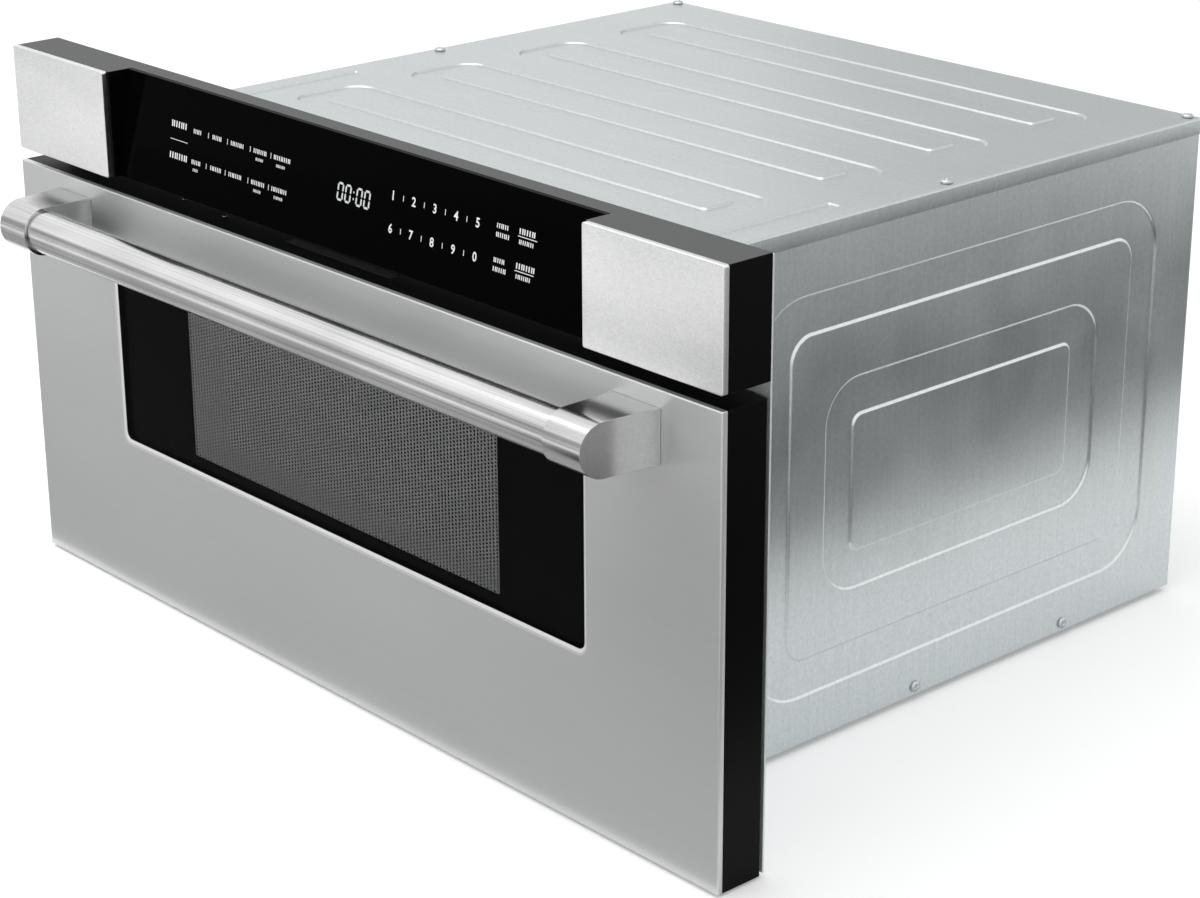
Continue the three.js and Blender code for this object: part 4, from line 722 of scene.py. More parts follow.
def screw_tree():
    tree, start, end = node_tree("screws_on_points", [
        ("Head", "NodeSocketObject", None), ("Size", "NodeSocketFloat", 1.0),
        ("Seed", "NodeSocketInt", SCREW_SEED), ("Finish", "NodeSocketMaterial", None),
    ])
    head = add_node(tree, "GeometryNodeObjectInfo", {"Object": start.outputs["Head"]})
    facing = add_node(tree, "GeometryNodeInputNamedAttribute", {"Name": "facing"}, data_type="FLOAT_VECTOR")
    aim = add_node(tree, "FunctionNodeAlignRotationToVector", {"Vector": facing.outputs[0]}, axis="Z")
    spin = add_node(tree, "FunctionNodeRandomValue", {
        "Seed": start.outputs["Seed"], 2: 0.0, 3: math.pi / 2,
    }, data_type="FLOAT")
    turn = add_node(tree, "ShaderNodeCombineXYZ", {"Z": spin.outputs[1]})
    turned = add_node(tree, "FunctionNodeRotateRotation", {
        "Rotation": aim.outputs[0], "Rotate By": turn.outputs[0],
    }, rotation_space="LOCAL")
    copies = add_node(tree, "GeometryNodeInstanceOnPoints", {
        "Points": start.outputs["Geometry"], "Instance": head.outputs["Geometry"],
        "Rotation": turned.outputs[0], "Scale": start.outputs["Size"],
    })
    real = add_node(tree, "GeometryNodeRealizeInstances", {"Geometry": copies.outputs[0]})
    finish = add_node(tree, "GeometryNodeSetMaterial", {
        "Geometry": real.outputs[0], "Material": start.outputs["Finish"],
    })
    tree.links.new(finish.outputs[0], end.inputs[0])
    return tree


SCREW_TREE = screw_tree()


def set_screws(name, places, body, replaced=(), size=1.0):
    """Screws at places given as (seat, direction), as one piece on a body."""
    mesh = bpy.data.meshes.new(name + "_points")
    mesh.from_pydata([tuple(seat) for seat, _ in places], [], [])
    facing = mesh.attributes.new("facing", "FLOAT_VECTOR", "POINT")
    for item, (_, direction) in zip(facing.data, places):
        item.vector = direction
    points = add_object(name + "_points", mesh)
    inputs = {"Head": screw_source, "Size": size, "Seed": SCREW_SEED, "Finish": zinc_screw}
    return settle(baked(points, name, SCREW_TREE, inputs), body, "screws", *replaced)


# %% [markdown]
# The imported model's own screws say where the cabinet's screws are. Each head stands where its node's does, a
# hair lower, so that no gap shows under it.


# %% Screws of the cabinet
SCREW_SUNK = 0.05 * MM


def screw_seat(node, direction):
    """Where a screw node's head begins: the middle of its box's outer face, moved back by the head."""
    low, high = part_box(node)
    levels = {1: high, 0: (low + high) / 2, -1: low}
    tip = Vector([levels[direction[i]][i] for i in range(3)])
    return tip - Vector(direction) * (SCREW_HEIGHT + SCREW_SUNK)


cabinet_screws = [f"{face}_screw_{i}" for face in ("top", "side") for i in range(1, 5)]
screw_places = []
for node in cabinet_screws:
    outward = 1 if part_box(node)[0].x > 0 else -1
    direction = (0, 0, 1) if node.startswith("top") else (outward, 0, 0)
    screw_places.append((screw_seat(node, direction), direction))
set_screws("cabinet_screws", screw_places, "cabinet", cabinet_screws)
print("screws on the cabinet:", len(screw_places))

# %% [markdown]
# ## The stainless skins
# The drawer's front and the two ends of the fascia are skins of 1.2 mm stainless, wrapped back round their
# edges. Each is built as a closed shell: the face, a small outside bend, the return, the rim and the inside.
# The drawer's skin has a window whose edge is coined into a narrow slope. The inner part of that slope is
# coloured pure white, a painted highlight that draws the bright line round the window.


# %% Wrapped skins
SKIN_WALL = 1.2 * MM
SKIN_BEND, SKIN_CORNER = 1.1 * MM, 0.6 * MM
CAP_BEND, CAP_CORNER = 0.7 * MM, 1.6 * MM
LEAST_OUTER_CORNER, LEAST_INNER_CORNER = 0.5 * MM, 0.4 * MM
WINDOW = ((-258 * MM, 258 * MM), (124.5 * MM, 266 * MM), 6 * MM)
WINDOW_BEVEL = 4.5 * MM
# The coined slope in mm, as how far in from its outer edge and how far down
WINDOW_SLOPE = [(0.0, 0.0), (0.35, 0.03), (0.7, 0.12), (2.1, 0.5), (4.1, 1.06), (4.35, 1.12), (4.5, 1.2)]
# Deeper than this the slope is coloured white, as a painted highlight
PAINTED_HIGHLIGHT_FROM = 0.55 * MM


def coined_edge(sheet, face_y):
    """The slope round the window, whose deeper part gets the white finish of the painted highlight. Returns its
    two edges.
    """
    before = len(sheet.bm.faces)
    levels = []
    for across, down in WINDOW_SLOPE:
        levels.append((grown_outline(WINDOW, WINDOW_BEVEL - across * MM), -down * MM))
    top, foot = sheet.stack(levels)
    sheet.bm.faces.ensure_lookup_table()
    for slope in sheet.bm.faces[before:]:
        if slope.calc_center_median().y > face_y + PAINTED_HIGHLIGHT_FROM:
            slope.material_index = 1
    return top, foot


def wrapped_skin(name, node, materials, bend, corner, slot, window=False):
    low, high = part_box(node)
    depth = high.y - low.y
    shape = ((low.x, high.x), (low.z, high.z), corner)
    sheet = PressedSheet(lambda u, v, height: (u, low.y - height, v))
    levels = bend_levels(
        lambda out: grown_outline(shape, out - bend, LEAST_OUTER_CORNER, 6), bend, depth, steps=5)
    inner = grown_outline(shape, -SKIN_WALL, LEAST_INNER_CORNER, 6)
    face, back = sheet.stack(levels + [(inner, -depth), (inner, -SKIN_WALL)])
    top, foot = coined_edge(sheet, low.y) if window else ((), ())
    sheet.flat(face, top)
    sheet.flat(back, foot)
    piece = weight_normals(piece_from(name, sheet.finish((0, -1, 0)), materials))
    return settle(piece, nodes[node]["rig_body"], slot, node)


front_skin = wrapped_skin("drawer_front_skin", "door_skin", [skin_steel, edge_steel_painted_highlight], SKIN_BEND, SKIN_CORNER,
                          "brushed_stainless", window=True)
for side in ("left", "right"):
    wrapped_skin("fascia_end_" + side, "fascia_cap_" + side, [cap_steel], CAP_BEND, CAP_CORNER,
                 "cap_stainless")
print("front skin:", len(front_skin.data.polygons), "faces")

# %% [markdown]
# ## Handle
# The bar is a stainless tube, polished along its length, held between two cast end posts. The tube is turned
# from a profile of radius against length, with a narrow groove where it enters each post. Seen from its end a
# post is a D, round in front and square at the door. Its outer face leans out, and both faces flare at its
# foot.


# %% Handle bar
BAR_SPOKES = 96
# The bar's end in mm, as how far from its end and how much thinner
BAR_ENDING = [(0, 1.2), (0.25, 1.2), (0.35, 0.2), (0.6, 0)]


def close_through(bm, loops):
    """A closed solid through loops of points, with a face at each end."""
    for first, second in zip(loops, loops[1:]):
        for corners in quads_between(first, second):
            bm.faces.new(corners)
    bm.faces.new(loops[0])
    bm.faces.new(list(reversed(loops[-1])))
    bmesh.ops.recalc_face_normals(bm, faces=bm.faces)


def turned_bar(name, profile, centre, material):
    """A solid of revolution along X. profile is (x, radius) from one end to the other."""
    bm = bmesh.new()
    turns = [2 * math.pi * i / BAR_SPOKES for i in range(BAR_SPOKES)]
    loops = []
    for x, radius in profile:
        ring = [(x, centre.y + radius * math.cos(turn), centre.z + radius * math.sin(turn)) for turn in turns]
        loops.append([bm.verts.new(point) for point in ring])
    close_through(bm, loops)
    return weight_normals(piece_from(name, bm, [material]))


bar_low, bar_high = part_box("handle_bar")
bar_centre = (bar_low + bar_high) / 2
bar_radius = (bar_high.z - bar_low.z) / 2
bar_end = bar_high.x
half_profile = [(bar_end - back * MM, bar_radius - thinner * MM) for back, thinner in BAR_ENDING]
profile = [(-x, radius) for x, radius in half_profile] + list(reversed(half_profile))
handle = turned_bar("handle_tube", profile, bar_centre, handle_steel)
settle(handle, "drawer", "handle_stainless", "handle_bar")
print("handle: bar of", round(2 * bar_end / MM), "mm and radius", round(bar_radius / MM, 1))

# %% [markdown]
# A post is drawn as slices from its round front back to the door, each a rectangle as high as the D is there.

# %% Handle posts
POST_GAP = 0.35 * MM
POST_WIDTH = 33.4 * MM
POST_INNER = bar_end + POST_GAP
POST_OUTER = POST_INNER + POST_WIDTH
POST_LEAN = 6.2 * MM
POST_RIM = 0.45 * MM
FOOT_FLARE = 2.1 * MM
FOOT_DEPTH = 14 * MM
ROUND_STEPS, FOOT_STEPS = 24, 10


def make_post(name, side):
    low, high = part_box("handle_post_" + name)
    radius = (high.z - low.z) / 2
    length = high.y - low.y
    middle = (low.z + high.z) / 2
    turns = [math.radians(90 * i / ROUND_STEPS) for i in range(1, ROUND_STEPS + 1)]
    profile = [(radius * (1 - math.cos(turn)), radius * math.sin(turn)) for turn in turns]
    profile += [(radius + (length - FOOT_DEPTH - radius) * share, radius) for share in (0.33, 0.67, 1.0)]
    profile += [(length - FOOT_DEPTH * (1 - i / FOOT_STEPS), radius) for i in range(1, FOOT_STEPS + 1)]
    bm = bmesh.new()
    loops = []
    for depth, half in profile:
        into_foot = (depth - (length - FOOT_DEPTH)) / FOOT_DEPTH
        flare = FOOT_FLARE * max(into_foot, 0.0) ** 2
        inner = POST_INNER - flare
        outer = POST_OUTER + POST_LEAN * depth / length + flare
        corners = ((inner, half), (outer, half), (outer, -half), (inner, -half))
        loops.append([bm.verts.new((side * x, low.y + depth, middle + z)) for x, z in corners])
    close_through(bm, loops)
    piece = piece_from("handle_end_" + name, bm, [post_steel])
    round_edges(piece, POST_RIM, segments=3, sharp_deg=50)
    return settle(piece, "drawer", "handle_stainless", "handle_post_" + name)


posts = [make_post("left", -1), make_post("right", 1)]
print("handle posts:", [len(post.data.polygons) for post in posts], "faces")

# %% [markdown]
# ## Window
# The window is one pane of tempered glass. A black border is printed on its back, and its middle is left
# clear, so that the perforated screen shows through. The pane is one closed slab whose printed faces have
# their own material.


# %% Window pane
PANE_CORNER = 6 * MM
PANE_RIM = 0.4 * MM
SIGHT_X = 172 * MM
SIGHT_Z = (134 * MM, 260 * MM)
SIGHT_CORNER = 1.5 * MM


def window_pane():
    low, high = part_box("window_glass")
    depth = high.y - low.y
    sheet = PressedSheet(lambda u, v, height: (u, low.y - height, v))
    levels = []
    for by, height in ((-PANE_RIM, 0.0), (0.0, -PANE_RIM), (0.0, PANE_RIM - depth), (-PANE_RIM, -depth)):
        us, vs = grown((low.x, high.x), by), grown((low.z, high.z), by)
        levels.append((round_rectangle(us, vs, PANE_CORNER, 6), height))
    front, back = sheet.stack(levels)
    sheet.bm.faces.new(front)
    sight = sheet.loop(round_rectangle((-SIGHT_X, SIGHT_X), SIGHT_Z, SIGHT_CORNER, 6), -depth)
    sheet.bm.faces.new(sight)
    before = len(sheet.bm.faces)
    sheet.flat(back, sight)
    sheet.bm.faces.ensure_lookup_table()
    for printed in sheet.bm.faces[before:]:
        printed.material_index = 1
    piece = piece_from("window_pane", sheet.finish((0, -1, 0)), [clear_glass, border_glass], smooth=False)
    return settle(piece, "drawer", "window_glass", "window_glass")


window_pane()
print("window: clear part", round(2 * SIGHT_X / MM), "by", round((SIGHT_Z[1] - SIGHT_Z[0]) / MM), "mm")

# %% [markdown]
# ## Perforated screen
# Behind the pane a thin steel sheet keeps the microwaves in. It is punched all over with small holes, in
# columns 3.47 mm apart with holes 2.61 mm apart, and every other column is half a step lower. One cell with
# its hole is modelled, and Geometry Nodes set it on a grid, move every other column, merge the seams and give
# the sheet its thickness. With thousands of cells, a hole has only six sides.


# %% One cell of the screen
COLUMN_PITCH = 3.47 * MM
HOLE_PITCH = 2.61 * MM
HOLE_RADIUS = 0.98 * MM
HOLE_SIDES = 6


def screen_cell():
    """A flat cell in X and Z. Its upright sides have a middle point, to meet the shifted neighbours."""
    bm = bmesh.new()
    u, v = COLUMN_PITCH / 2, HOLE_PITCH / 2
    outline = [(u, 0), (u, v), (-u, v), (-u, 0), (-u, -v), (u, -v)]
    rim = [bm.verts.new((x, 0, z)) for x, z in outline]
    turns = [math.radians(360 / HOLE_SIDES * i) for i in range(HOLE_SIDES)]
    hole = [bm.verts.new((HOLE_RADIUS * math.cos(turn), 0, HOLE_RADIUS * math.sin(turn))) for turn in turns]
    for corners in quads_between(rim, hole):
        face = bm.faces.new(corners)
        face.normal_update()
        if face.normal.y > 0:
            face.normal_flip()
    return add_object("screen_cell", mesh_from("screen_cell", bm))


# %% [markdown]
# The tree's grid has one point for each hole, column after column, so a point's number divided by the rows
# tells its column. Odd columns move down half a step. The merged sheet is pushed back by its thickness, and
# its own faces close the front.


# %% Tree of the screen
def screen_tree():
    tree, start, end = node_tree("perforated_field", [
        ("Cell", "NodeSocketObject", None), ("Columns", "NodeSocketInt", 10), ("Rows", "NodeSocketInt", 10),
        ("Column pitch", "NodeSocketFloat", 0.003), ("Hole pitch", "NodeSocketFloat", 0.003),
        ("Centre", "NodeSocketVector", None), ("Thickness", "NodeSocketFloat", 0.0003),
        ("Finish", "NodeSocketMaterial", None),
    ])
    value = start.outputs
    sizes = {}
    for label, count, pitch in (("Size X", "Columns", "Column pitch"), ("Size Y", "Rows", "Hole pitch")):
        gaps = add_node(tree, "ShaderNodeMath", {0: value[count], 1: 1.0}, operation="SUBTRACT")
        size = add_node(tree, "ShaderNodeMath", {0: gaps.outputs[0], 1: value[pitch]}, operation="MULTIPLY")
        sizes[label] = size.outputs[0]
    grid = add_node(tree, "GeometryNodeMeshGrid", {
        **sizes, "Vertices X": value["Columns"], "Vertices Y": value["Rows"]})
    lowered = add_node(tree, "GeometryNodeInputIndex").outputs[0]
    steps = [("DIVIDE", value["Rows"]), ("FLOOR", 0.0), ("MODULO", 2.0), ("MULTIPLY", value["Hole pitch"]),
             ("MULTIPLY", 0.5)]
    for operation, by in steps:
        lowered = add_node(tree, "ShaderNodeMath", {0: lowered, 1: by}, operation=operation).outputs[0]
    position = add_node(tree, "GeometryNodeInputPosition")
    where = add_node(tree, "ShaderNodeSeparateXYZ", {0: position.outputs[0]})
    height = add_node(tree, "ShaderNodeMath", {0: where.outputs[1], 1: lowered}, operation="SUBTRACT")
    upright = add_node(tree, "ShaderNodeCombineXYZ", {"X": where.outputs[0], "Z": height.outputs[0]})
    placed = add_node(tree, "ShaderNodeVectorMath", {
        0: upright.outputs[0], 1: value["Centre"]}, operation="ADD")
    stood = add_node(tree, "GeometryNodeSetPosition", {
        "Geometry": grid.outputs[0], "Position": placed.outputs[0]})
    cell = add_node(tree, "GeometryNodeObjectInfo", {"Object": value["Cell"]})
    copies = add_node(tree, "GeometryNodeInstanceOnPoints", {
        "Points": stood.outputs[0], "Instance": cell.outputs["Geometry"]})
    real = add_node(tree, "GeometryNodeRealizeInstances", {"Geometry": copies.outputs[0]})
    sheet = add_node(tree, "GeometryNodeMergeByDistance", {
        "Geometry": real.outputs[0], "Distance": 0.05 * MM})
    back = add_node(tree, "ShaderNodeCombineXYZ", {"Y": value["Thickness"]})
    thick = add_node(tree, "GeometryNodeExtrudeMesh", {
        "Mesh": sheet.outputs[0], "Offset": back.outputs[0], "Individual": False})
    joined = add_node(tree, "GeometryNodeJoinGeometry")
    for part in (thick, sheet):
        turned = add_node(tree, "GeometryNodeFlipFaces", {"Mesh": part.outputs[0]})
        tree.links.new(turned.outputs[0], joined.inputs[0])
    whole = add_node(tree, "GeometryNodeMergeByDistance", {
        "Geometry": joined.outputs[0], "Distance": 0.02 * MM})
    flipped = add_node(tree, "GeometryNodeFlipFaces", {"Mesh": whole.outputs[0]})
    finish = add_node(tree, "GeometryNodeSetMaterial", {
        "Geometry": flipped.outputs[0], "Material": value["Finish"]})
    tree.links.new(finish.outputs[0], end.inputs[0])
    return tree


# %% [markdown]
# The field reaches a little past the clear part of the pane. Round it the screen is unpunched: a flat ring,
# a little thicker back, that laps behind the field.


# %% Screen and its edge
SCREEN_WALL = 0.25 * MM
SCREEN_MARGIN = 7 * MM
EDGE_LAP = 1.5 * MM
EDGE_CORNER, EDGE_INNER_CORNER = 4 * MM, 3 * MM


def perforated_screen():
    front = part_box("mesh_screen")[0].y
    field_x, field_z = SIGHT_X + SCREEN_MARGIN, grown(SIGHT_Z, SCREEN_MARGIN)
    columns = 2 * int(field_x / COLUMN_PITCH) + 1
    rows = int((field_z[1] - field_z[0]) / HOLE_PITCH) + 1
    middle = (0, front, (field_z[0] + field_z[1]) / 2 + HOLE_PITCH / 4)
    base = add_object("screen_base", bpy.data.meshes.new("screen_base"))
    cell = screen_cell()
    field = baked(base, "screen_field", screen_tree(), {
        "Cell": cell, "Columns": columns, "Rows": rows, "Column pitch": COLUMN_PITCH,
        "Hole pitch": HOLE_PITCH, "Centre": middle, "Thickness": SCREEN_WALL, "Finish": screen_steel,
    })
    bpy.data.objects.remove(cell)
    settle(field, "drawer", "screen_steel", "mesh_screen")
    return field, columns * rows


def screen_border():
    low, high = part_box("mesh_screen")
    front = low.y + SCREEN_WALL
    depth = high.y - front
    sheet = PressedSheet(lambda u, v, height: (u, front - height, v))
    margin = SCREEN_MARGIN - EDGE_LAP
    inner_us, inner_vs = grown((-SIGHT_X, SIGHT_X), margin), grown(SIGHT_Z, margin)
    outer = round_rectangle((low.x, high.x), (low.z, high.z), EDGE_CORNER, 4)
    inner = round_rectangle(inner_us, inner_vs, EDGE_INNER_CORNER, 4)
    outer_front, outer_back = sheet.stack([(outer, 0.0), (outer, -depth)])
    inner_front, inner_back = sheet.stack([(inner, 0.0), (inner, -depth)])
    sheet.flat(outer_front, inner_front)
    sheet.flat(outer_back, inner_back)
    ring = piece_from("screen_edge", sheet.finish((0, -1, 0)), [screen_steel], smooth=False)
    return settle(ring, "drawer", "screen_steel")


screen_field, hole_count = perforated_screen()
screen_border()
print("screen:", hole_count, "holes and", len(screen_field.data.polygons), "faces")

# %% [markdown]
# ## Key panel
# The panel is a tempered glass strip that leans back. Its print is white: key marks in two rows at the left,
# a clock, and the digits of a keypad at the right. The marks are short plain dashes, because only digits need
# to be read. Each print is a film a few hundredths of a millimetre thick that follows the glass.


# %% Print on the glass
PANEL_LEAN = 12 / 78
FILM = 0.05 * MM
FILM_GAP = 0.01 * MM
# A dash's width as a share of its height, and its pitch and the space after a pair as shares of its width
DASH_WIDTH, DASH_PITCH, DASH_GAP = 0.3, 1.7, 0.6
panel_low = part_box("control_glass")[0]
panel_out = Vector((0, -1, PANEL_LEAN)).normalized()


def on_panel(x, z, lift=0.0):
    """A point on the panel's face at x and z in millimetres."""
    y = panel_low.y + (z * MM - panel_low.z) * PANEL_LEAN
    return Vector((x * MM, y, z * MM)) + panel_out * (FILM_GAP + lift)


def print_shape(bm, outline):
    """A thin printed shape from its outline in millimetres, anticlockwise seen from the front."""
    under = [bm.verts.new(on_panel(x, z)) for x, z in outline]
    over = [bm.verts.new(on_panel(x, z, FILM)) for x, z in outline]
    bm.faces.new(over)
    bm.faces.new(list(reversed(under)))
    for corners in quads_between(under, over):
        bm.faces.new(corners)


def print_bar(bm, x0, x1, z0, z1):
    print_shape(bm, [(x0, z0), (x1, z0), (x1, z1), (x0, z1)])


def print_dashes(bm, x0, x1, z, height, seed):
    """A run of upright dashes, singly or in pairs, as long as a word. seed says where the pairs are."""
    stroke = DASH_WIDTH * height
    x = x0
    count = 0
    while x < x1 - stroke:
        for _ in range(1 + (count * 2 + seed) % 3 % 2):
            print_bar(bm, x, x + stroke, z - height / 2, z + height / 2)
            x += DASH_PITCH * stroke
        x += DASH_GAP * stroke
        count += 1


# %% [markdown]
# The digits are Blender's own text, made a mesh, laid on the glass and given the film's thickness.


# %% Digits
DIGIT_WEIGHT = 0.018


def text_mesh(body):
    curve = bpy.data.curves.new("digit", "FONT")
    curve.body = body
    curve.resolution_u = 3
    curve.offset = DIGIT_WEIGHT
    source = add_object("digit", curve)
    mesh = bpy.data.meshes.new_from_object(source.evaluated_get(bpy.context.evaluated_depsgraph_get()))
    bpy.data.objects.remove(source)
    return mesh


def print_digit(bm, body, x, z, height):
    """A digit with its middle at x and z."""
    part = bmesh.new()
    part.from_mesh(text_mesh(body))
    us, vs = [vert.co.x for vert in part.verts], [vert.co.y for vert in part.verts]
    scale = height / (max(vs) - min(vs))
    middle_u, middle_v = (min(us) + max(us)) / 2, (min(vs) + max(vs)) / 2
    bmesh.ops.remove_doubles(part, verts=part.verts, dist=1e-5)
    for vert in part.verts:
        vert.co = on_panel(x + (vert.co.x - middle_u) * scale, z + (vert.co.y - middle_v) * scale)
    film = bmesh.ops.extrude_face_region(part, geom=list(part.faces))
    moved = [item for item in film["geom"] if isinstance(item, bmesh.types.BMVert)]
    bmesh.ops.translate(part, verts=moved, vec=panel_out * FILM)
    bmesh.ops.recalc_face_normals(part, faces=part.faces)
    bm.from_mesh(mesh_from("digit_film", part))


# %% [markdown]
# The clock is drawn as a real display is: four noughts, each of six lit segments out of seven, and each
# segment a bar with pointed ends. The digits lean a little.


# %% Clock
# The segments that a nought lights, by their ends in half widths and half heights
NOUGHT = [((-1, 1), (1, 1)), ((-1, -1), (1, -1)), ((-1, 0), (-1, 1)), ((-1, -1), (-1, 0)), ((1, 0), (1, 1)),
          ((1, -1), (1, 0))]
CLOCK_DIGITS = 4
SEGMENT_WIDTH, SEGMENT_GAP = 1.5, 0.25
COLON_DOT = 0.6
# Half a nought's width and the colon's space as shares of a digit's step, and the lean and the dots' places
# as shares of the height
NOUGHT_HALF, COLON_SPACE = 0.31, 0.45
CLOCK_SLANT, COLON_HEIGHT = 0.08, 0.2


def print_segment(bm, start, stop):
    """A bar between two points with pointed ends."""
    along = Vector((stop[0] - start[0], stop[1] - start[1])).normalized()
    across = Vector((-along.y, along.x)) * SEGMENT_WIDTH / 2
    first = Vector(start) + along * SEGMENT_GAP
    last = Vector(stop) - along * SEGMENT_GAP
    inset = along * SEGMENT_WIDTH / 2
    outline = [first, first + inset - across, last - inset - across, last, last - inset + across,
               first + inset + across]
    print_shape(bm, [tuple(point) for point in outline])


def print_clock(bm, x, z, width, height):
    """Noughts in two pairs with a colon, from x on."""
    step = width / (CLOCK_DIGITS + COLON_SPACE)
    half_w, half_h = step * NOUGHT_HALF, height / 2
    centre = x + step / 2
    for digit in range(CLOCK_DIGITS):
        for segment in NOUGHT:
            print_segment(bm, *[(centre + u * half_w + v * half_h * CLOCK_SLANT, z + v * half_h)
                                for u, v in segment])
        centre += step * (1 + COLON_SPACE if digit == CLOCK_DIGITS // 2 - 1 else 1)
    middle = x + step * (CLOCK_DIGITS // 2 + COLON_SPACE / 2)
    for dot in (-1, 1):
        v = z + dot * height * COLON_HEIGHT
        print_bar(bm, middle - COLON_DOT, middle + COLON_DOT, v - COLON_DOT, v + COLON_DOT)


# %% [markdown]
# The marks are set out on the panel as a printer's plate would have them, in two rows 22 mm apart. All of
# their places and sizes are in millimetres.

# %% Marks and digits
ROWS = (374.5, 353.0)
# Words over the keys at the left, as start and length, the thin rules between them, and which of the words in
# each row have small print under them
KEY_WORDS = ((-170, 11), (-147, 12), (-125, 16), (-98, 15.5), (-74.5, 17))
KEY_RULES = (-152, -129, -102, -78)
WORDS_WITH_SMALL_PRINT = ((3, 4), (0, 3, 4))
WORD_HEIGHT, SMALL_HEIGHT, SMALL_DROP = 3.1, 2.0, 5.4
RULE_HALF_WIDTH, KEY_RULE_HALF, DIGIT_RULE_HALF = 0.3, 1.9, 1.8
DIGIT_START, DIGIT_PITCH, DIGIT_HEIGHT, DIGITS_IN_ROW = 56.5, 21.4, 6.2, 5
# Words at the right of each row: start and end, how far above the row, height and seed
END_WORDS = ((160.5, 171.5, 2.4, 3.0, 0), (160.5, 173, -3.2, 3.0, 1), (182, 198, 3.2, 3.6, 2),
             (182.5, 197, -3.4, 2.8, 1))
END_RULE = (181, 199, -0.3, 0.2)
# Words at the left end: start and end, height on the panel, height and seed
START_WORDS = ((-197, -178, 375.5, 4.4, 1), (-197, -176.5, 353.3, 4.4, 3))
START_RULE = (-197.7, -176.4, 364.3, 364.7)


def print_rule(bm, x, z, half_height):
    print_bar(bm, x - RULE_HALF_WIDTH, x + RULE_HALF_WIDTH, z - half_height, z + half_height)


print_bm = bmesh.new()
for row, z in enumerate(ROWS):
    for column, (x, width) in enumerate(KEY_WORDS):
        print_dashes(print_bm, x, x + width, z, WORD_HEIGHT, row + column)
        if column in WORDS_WITH_SMALL_PRINT[row]:
            small_x = (x + width * 0.2, x + width * 0.8)
            print_dashes(print_bm, *small_x, z - SMALL_DROP, SMALL_HEIGHT, row + column + 1)
    for x in KEY_RULES:
        print_rule(print_bm, x, z, KEY_RULE_HALF)
    for column in range(DIGITS_IN_ROW):
        x = DIGIT_START + column * DIGIT_PITCH
        print_digit(print_bm, str((DIGITS_IN_ROW * row + column + 1) % 10), x, z, DIGIT_HEIGHT)
        if column < DIGITS_IN_ROW - 1:
            print_rule(print_bm, x + DIGIT_PITCH / 2, z, DIGIT_RULE_HALF)
    for x0, x1, above, height, seed in END_WORDS:
        print_dashes(print_bm, x0, x1, z + above, height, row + seed)
    print_bar(print_bm, END_RULE[0], END_RULE[1], z + END_RULE[2], z + END_RULE[3])
for x0, x1, z, height, seed in START_WORDS:
    print_dashes(print_bm, x0, x1, z, height, seed)
print_bar(print_bm, *START_RULE)
panel_print = piece_from("panel_print", print_bm, [white_print], smooth=False)
settle(panel_print, "cabinet", "markings")
clock_bm = bmesh.new()
print_clock(clock_bm, x=-3, z=366, width=37, height=11)
settle(piece_from("panel_clock", clock_bm, [display_print], smooth=False), "cabinet", "markings")
print("print on the panel:", len(panel_print.data.polygons), "faces")

# %% [markdown]
# ## Small fasteners on top of the drawer's front
# Two small screws hold the skin to the black body, and a thin strip closes the slot of its catch. They are
# seen in the gap under the fascia.


# %% Drawer front screws
DOOR_SCREWS = ((-202.6, 27.4), (-146.6, 23.4))
DOOR_SCREW_SIZE = 0.45
body_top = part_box("door_frame")[1].z
door_screws = [((x * MM, face_y + behind * MM, body_top), (0, 0, 1)) for x, behind in DOOR_SCREWS]
set_screws("drawer_front_screws", door_screws, "drawer", size=DOOR_SCREW_SIZE)
bpy.data.objects.remove(screw_source)


def plain_block(name, low, high, material):
    bm = bmesh.new()
    bmesh.ops.create_cube(bm, size=1)
    middle, size = (low + high) / 2, high - low
    for vert in bm.verts:
        vert.co = Vector([middle[i] + vert.co[i] * size[i] for i in range(3)])
    return weight_normals(piece_from(name, bm, [material]))


strip_low = Vector((-67 * MM, face_y + 18 * MM, body_top - 0.2 * MM))
strip_high = Vector((48.5 * MM, face_y + 26 * MM, body_top + 0.25 * MM))
settle(plain_block("latch_cover_strip", strip_low, strip_high, inner_abs), "drawer", "black_body")
print("screws on the drawer's front:", len(door_screws))

# %% [markdown]
# ## Frames, cavity and slides
# These keep the shape that the model gives them and get the edge radius of their maker: moulded plastic has
# half a millimetre, and a sheared sheet has what the deburring brush leaves. Each node's slot is read from the
# name of its imported material. The top of the fascia's body is coloured a lighter grey than its black sides:
# painted light, for the light that falls on it from above. Its grain is coarser too.

# %% Softened frames
SOFTENED = {
    # The front frame takes the flange's lighter tone, painted light
    "base_pan": (inner_zinc, 0.2), "back_panel": (inner_zinc, 0.2), "front_frame": (flange_zinc_painted_light, 0.3),
    "oven_cavity": (cavity_enamel, 0.2), "fascia_body": (frame_abs, 0.5), "door_frame": (frame_abs, 0.6),
    "door_liner": (rail_steel, 0.3), "choke_cover": (inner_abs, 0.4), "latch_hook_left": (white_pom, 0.4),
    "latch_hook_right": (white_pom, 0.4), "drawer_tub": (cavity_enamel, 0.5),
    "ceramic_tray": (tray_ceramic, 1.0),
    "fixed_rail_left": (rail_steel, 0.2), "fixed_rail_right": (rail_steel, 0.2),
    "middle_rail_left": (rail_steel, 0.2), "middle_rail_right": (rail_steel, 0.2),
    "inner_rail_left": (rail_steel, 0.2), "inner_rail_right": (rail_steel, 0.2),
    "control_glass": (key_glass, 0.4), "fan_housing": (frame_abs, 0.5), "cord_gland": (black_rubber, 0.4),
    "interlock_switch_left": (frame_abs, 0.3), "interlock_switch_right": (frame_abs, 0.3),
}
slot_of = {name: node.data.materials[0].name.split(".")[0] for name, node in nodes.items()}
softened_pieces = {}
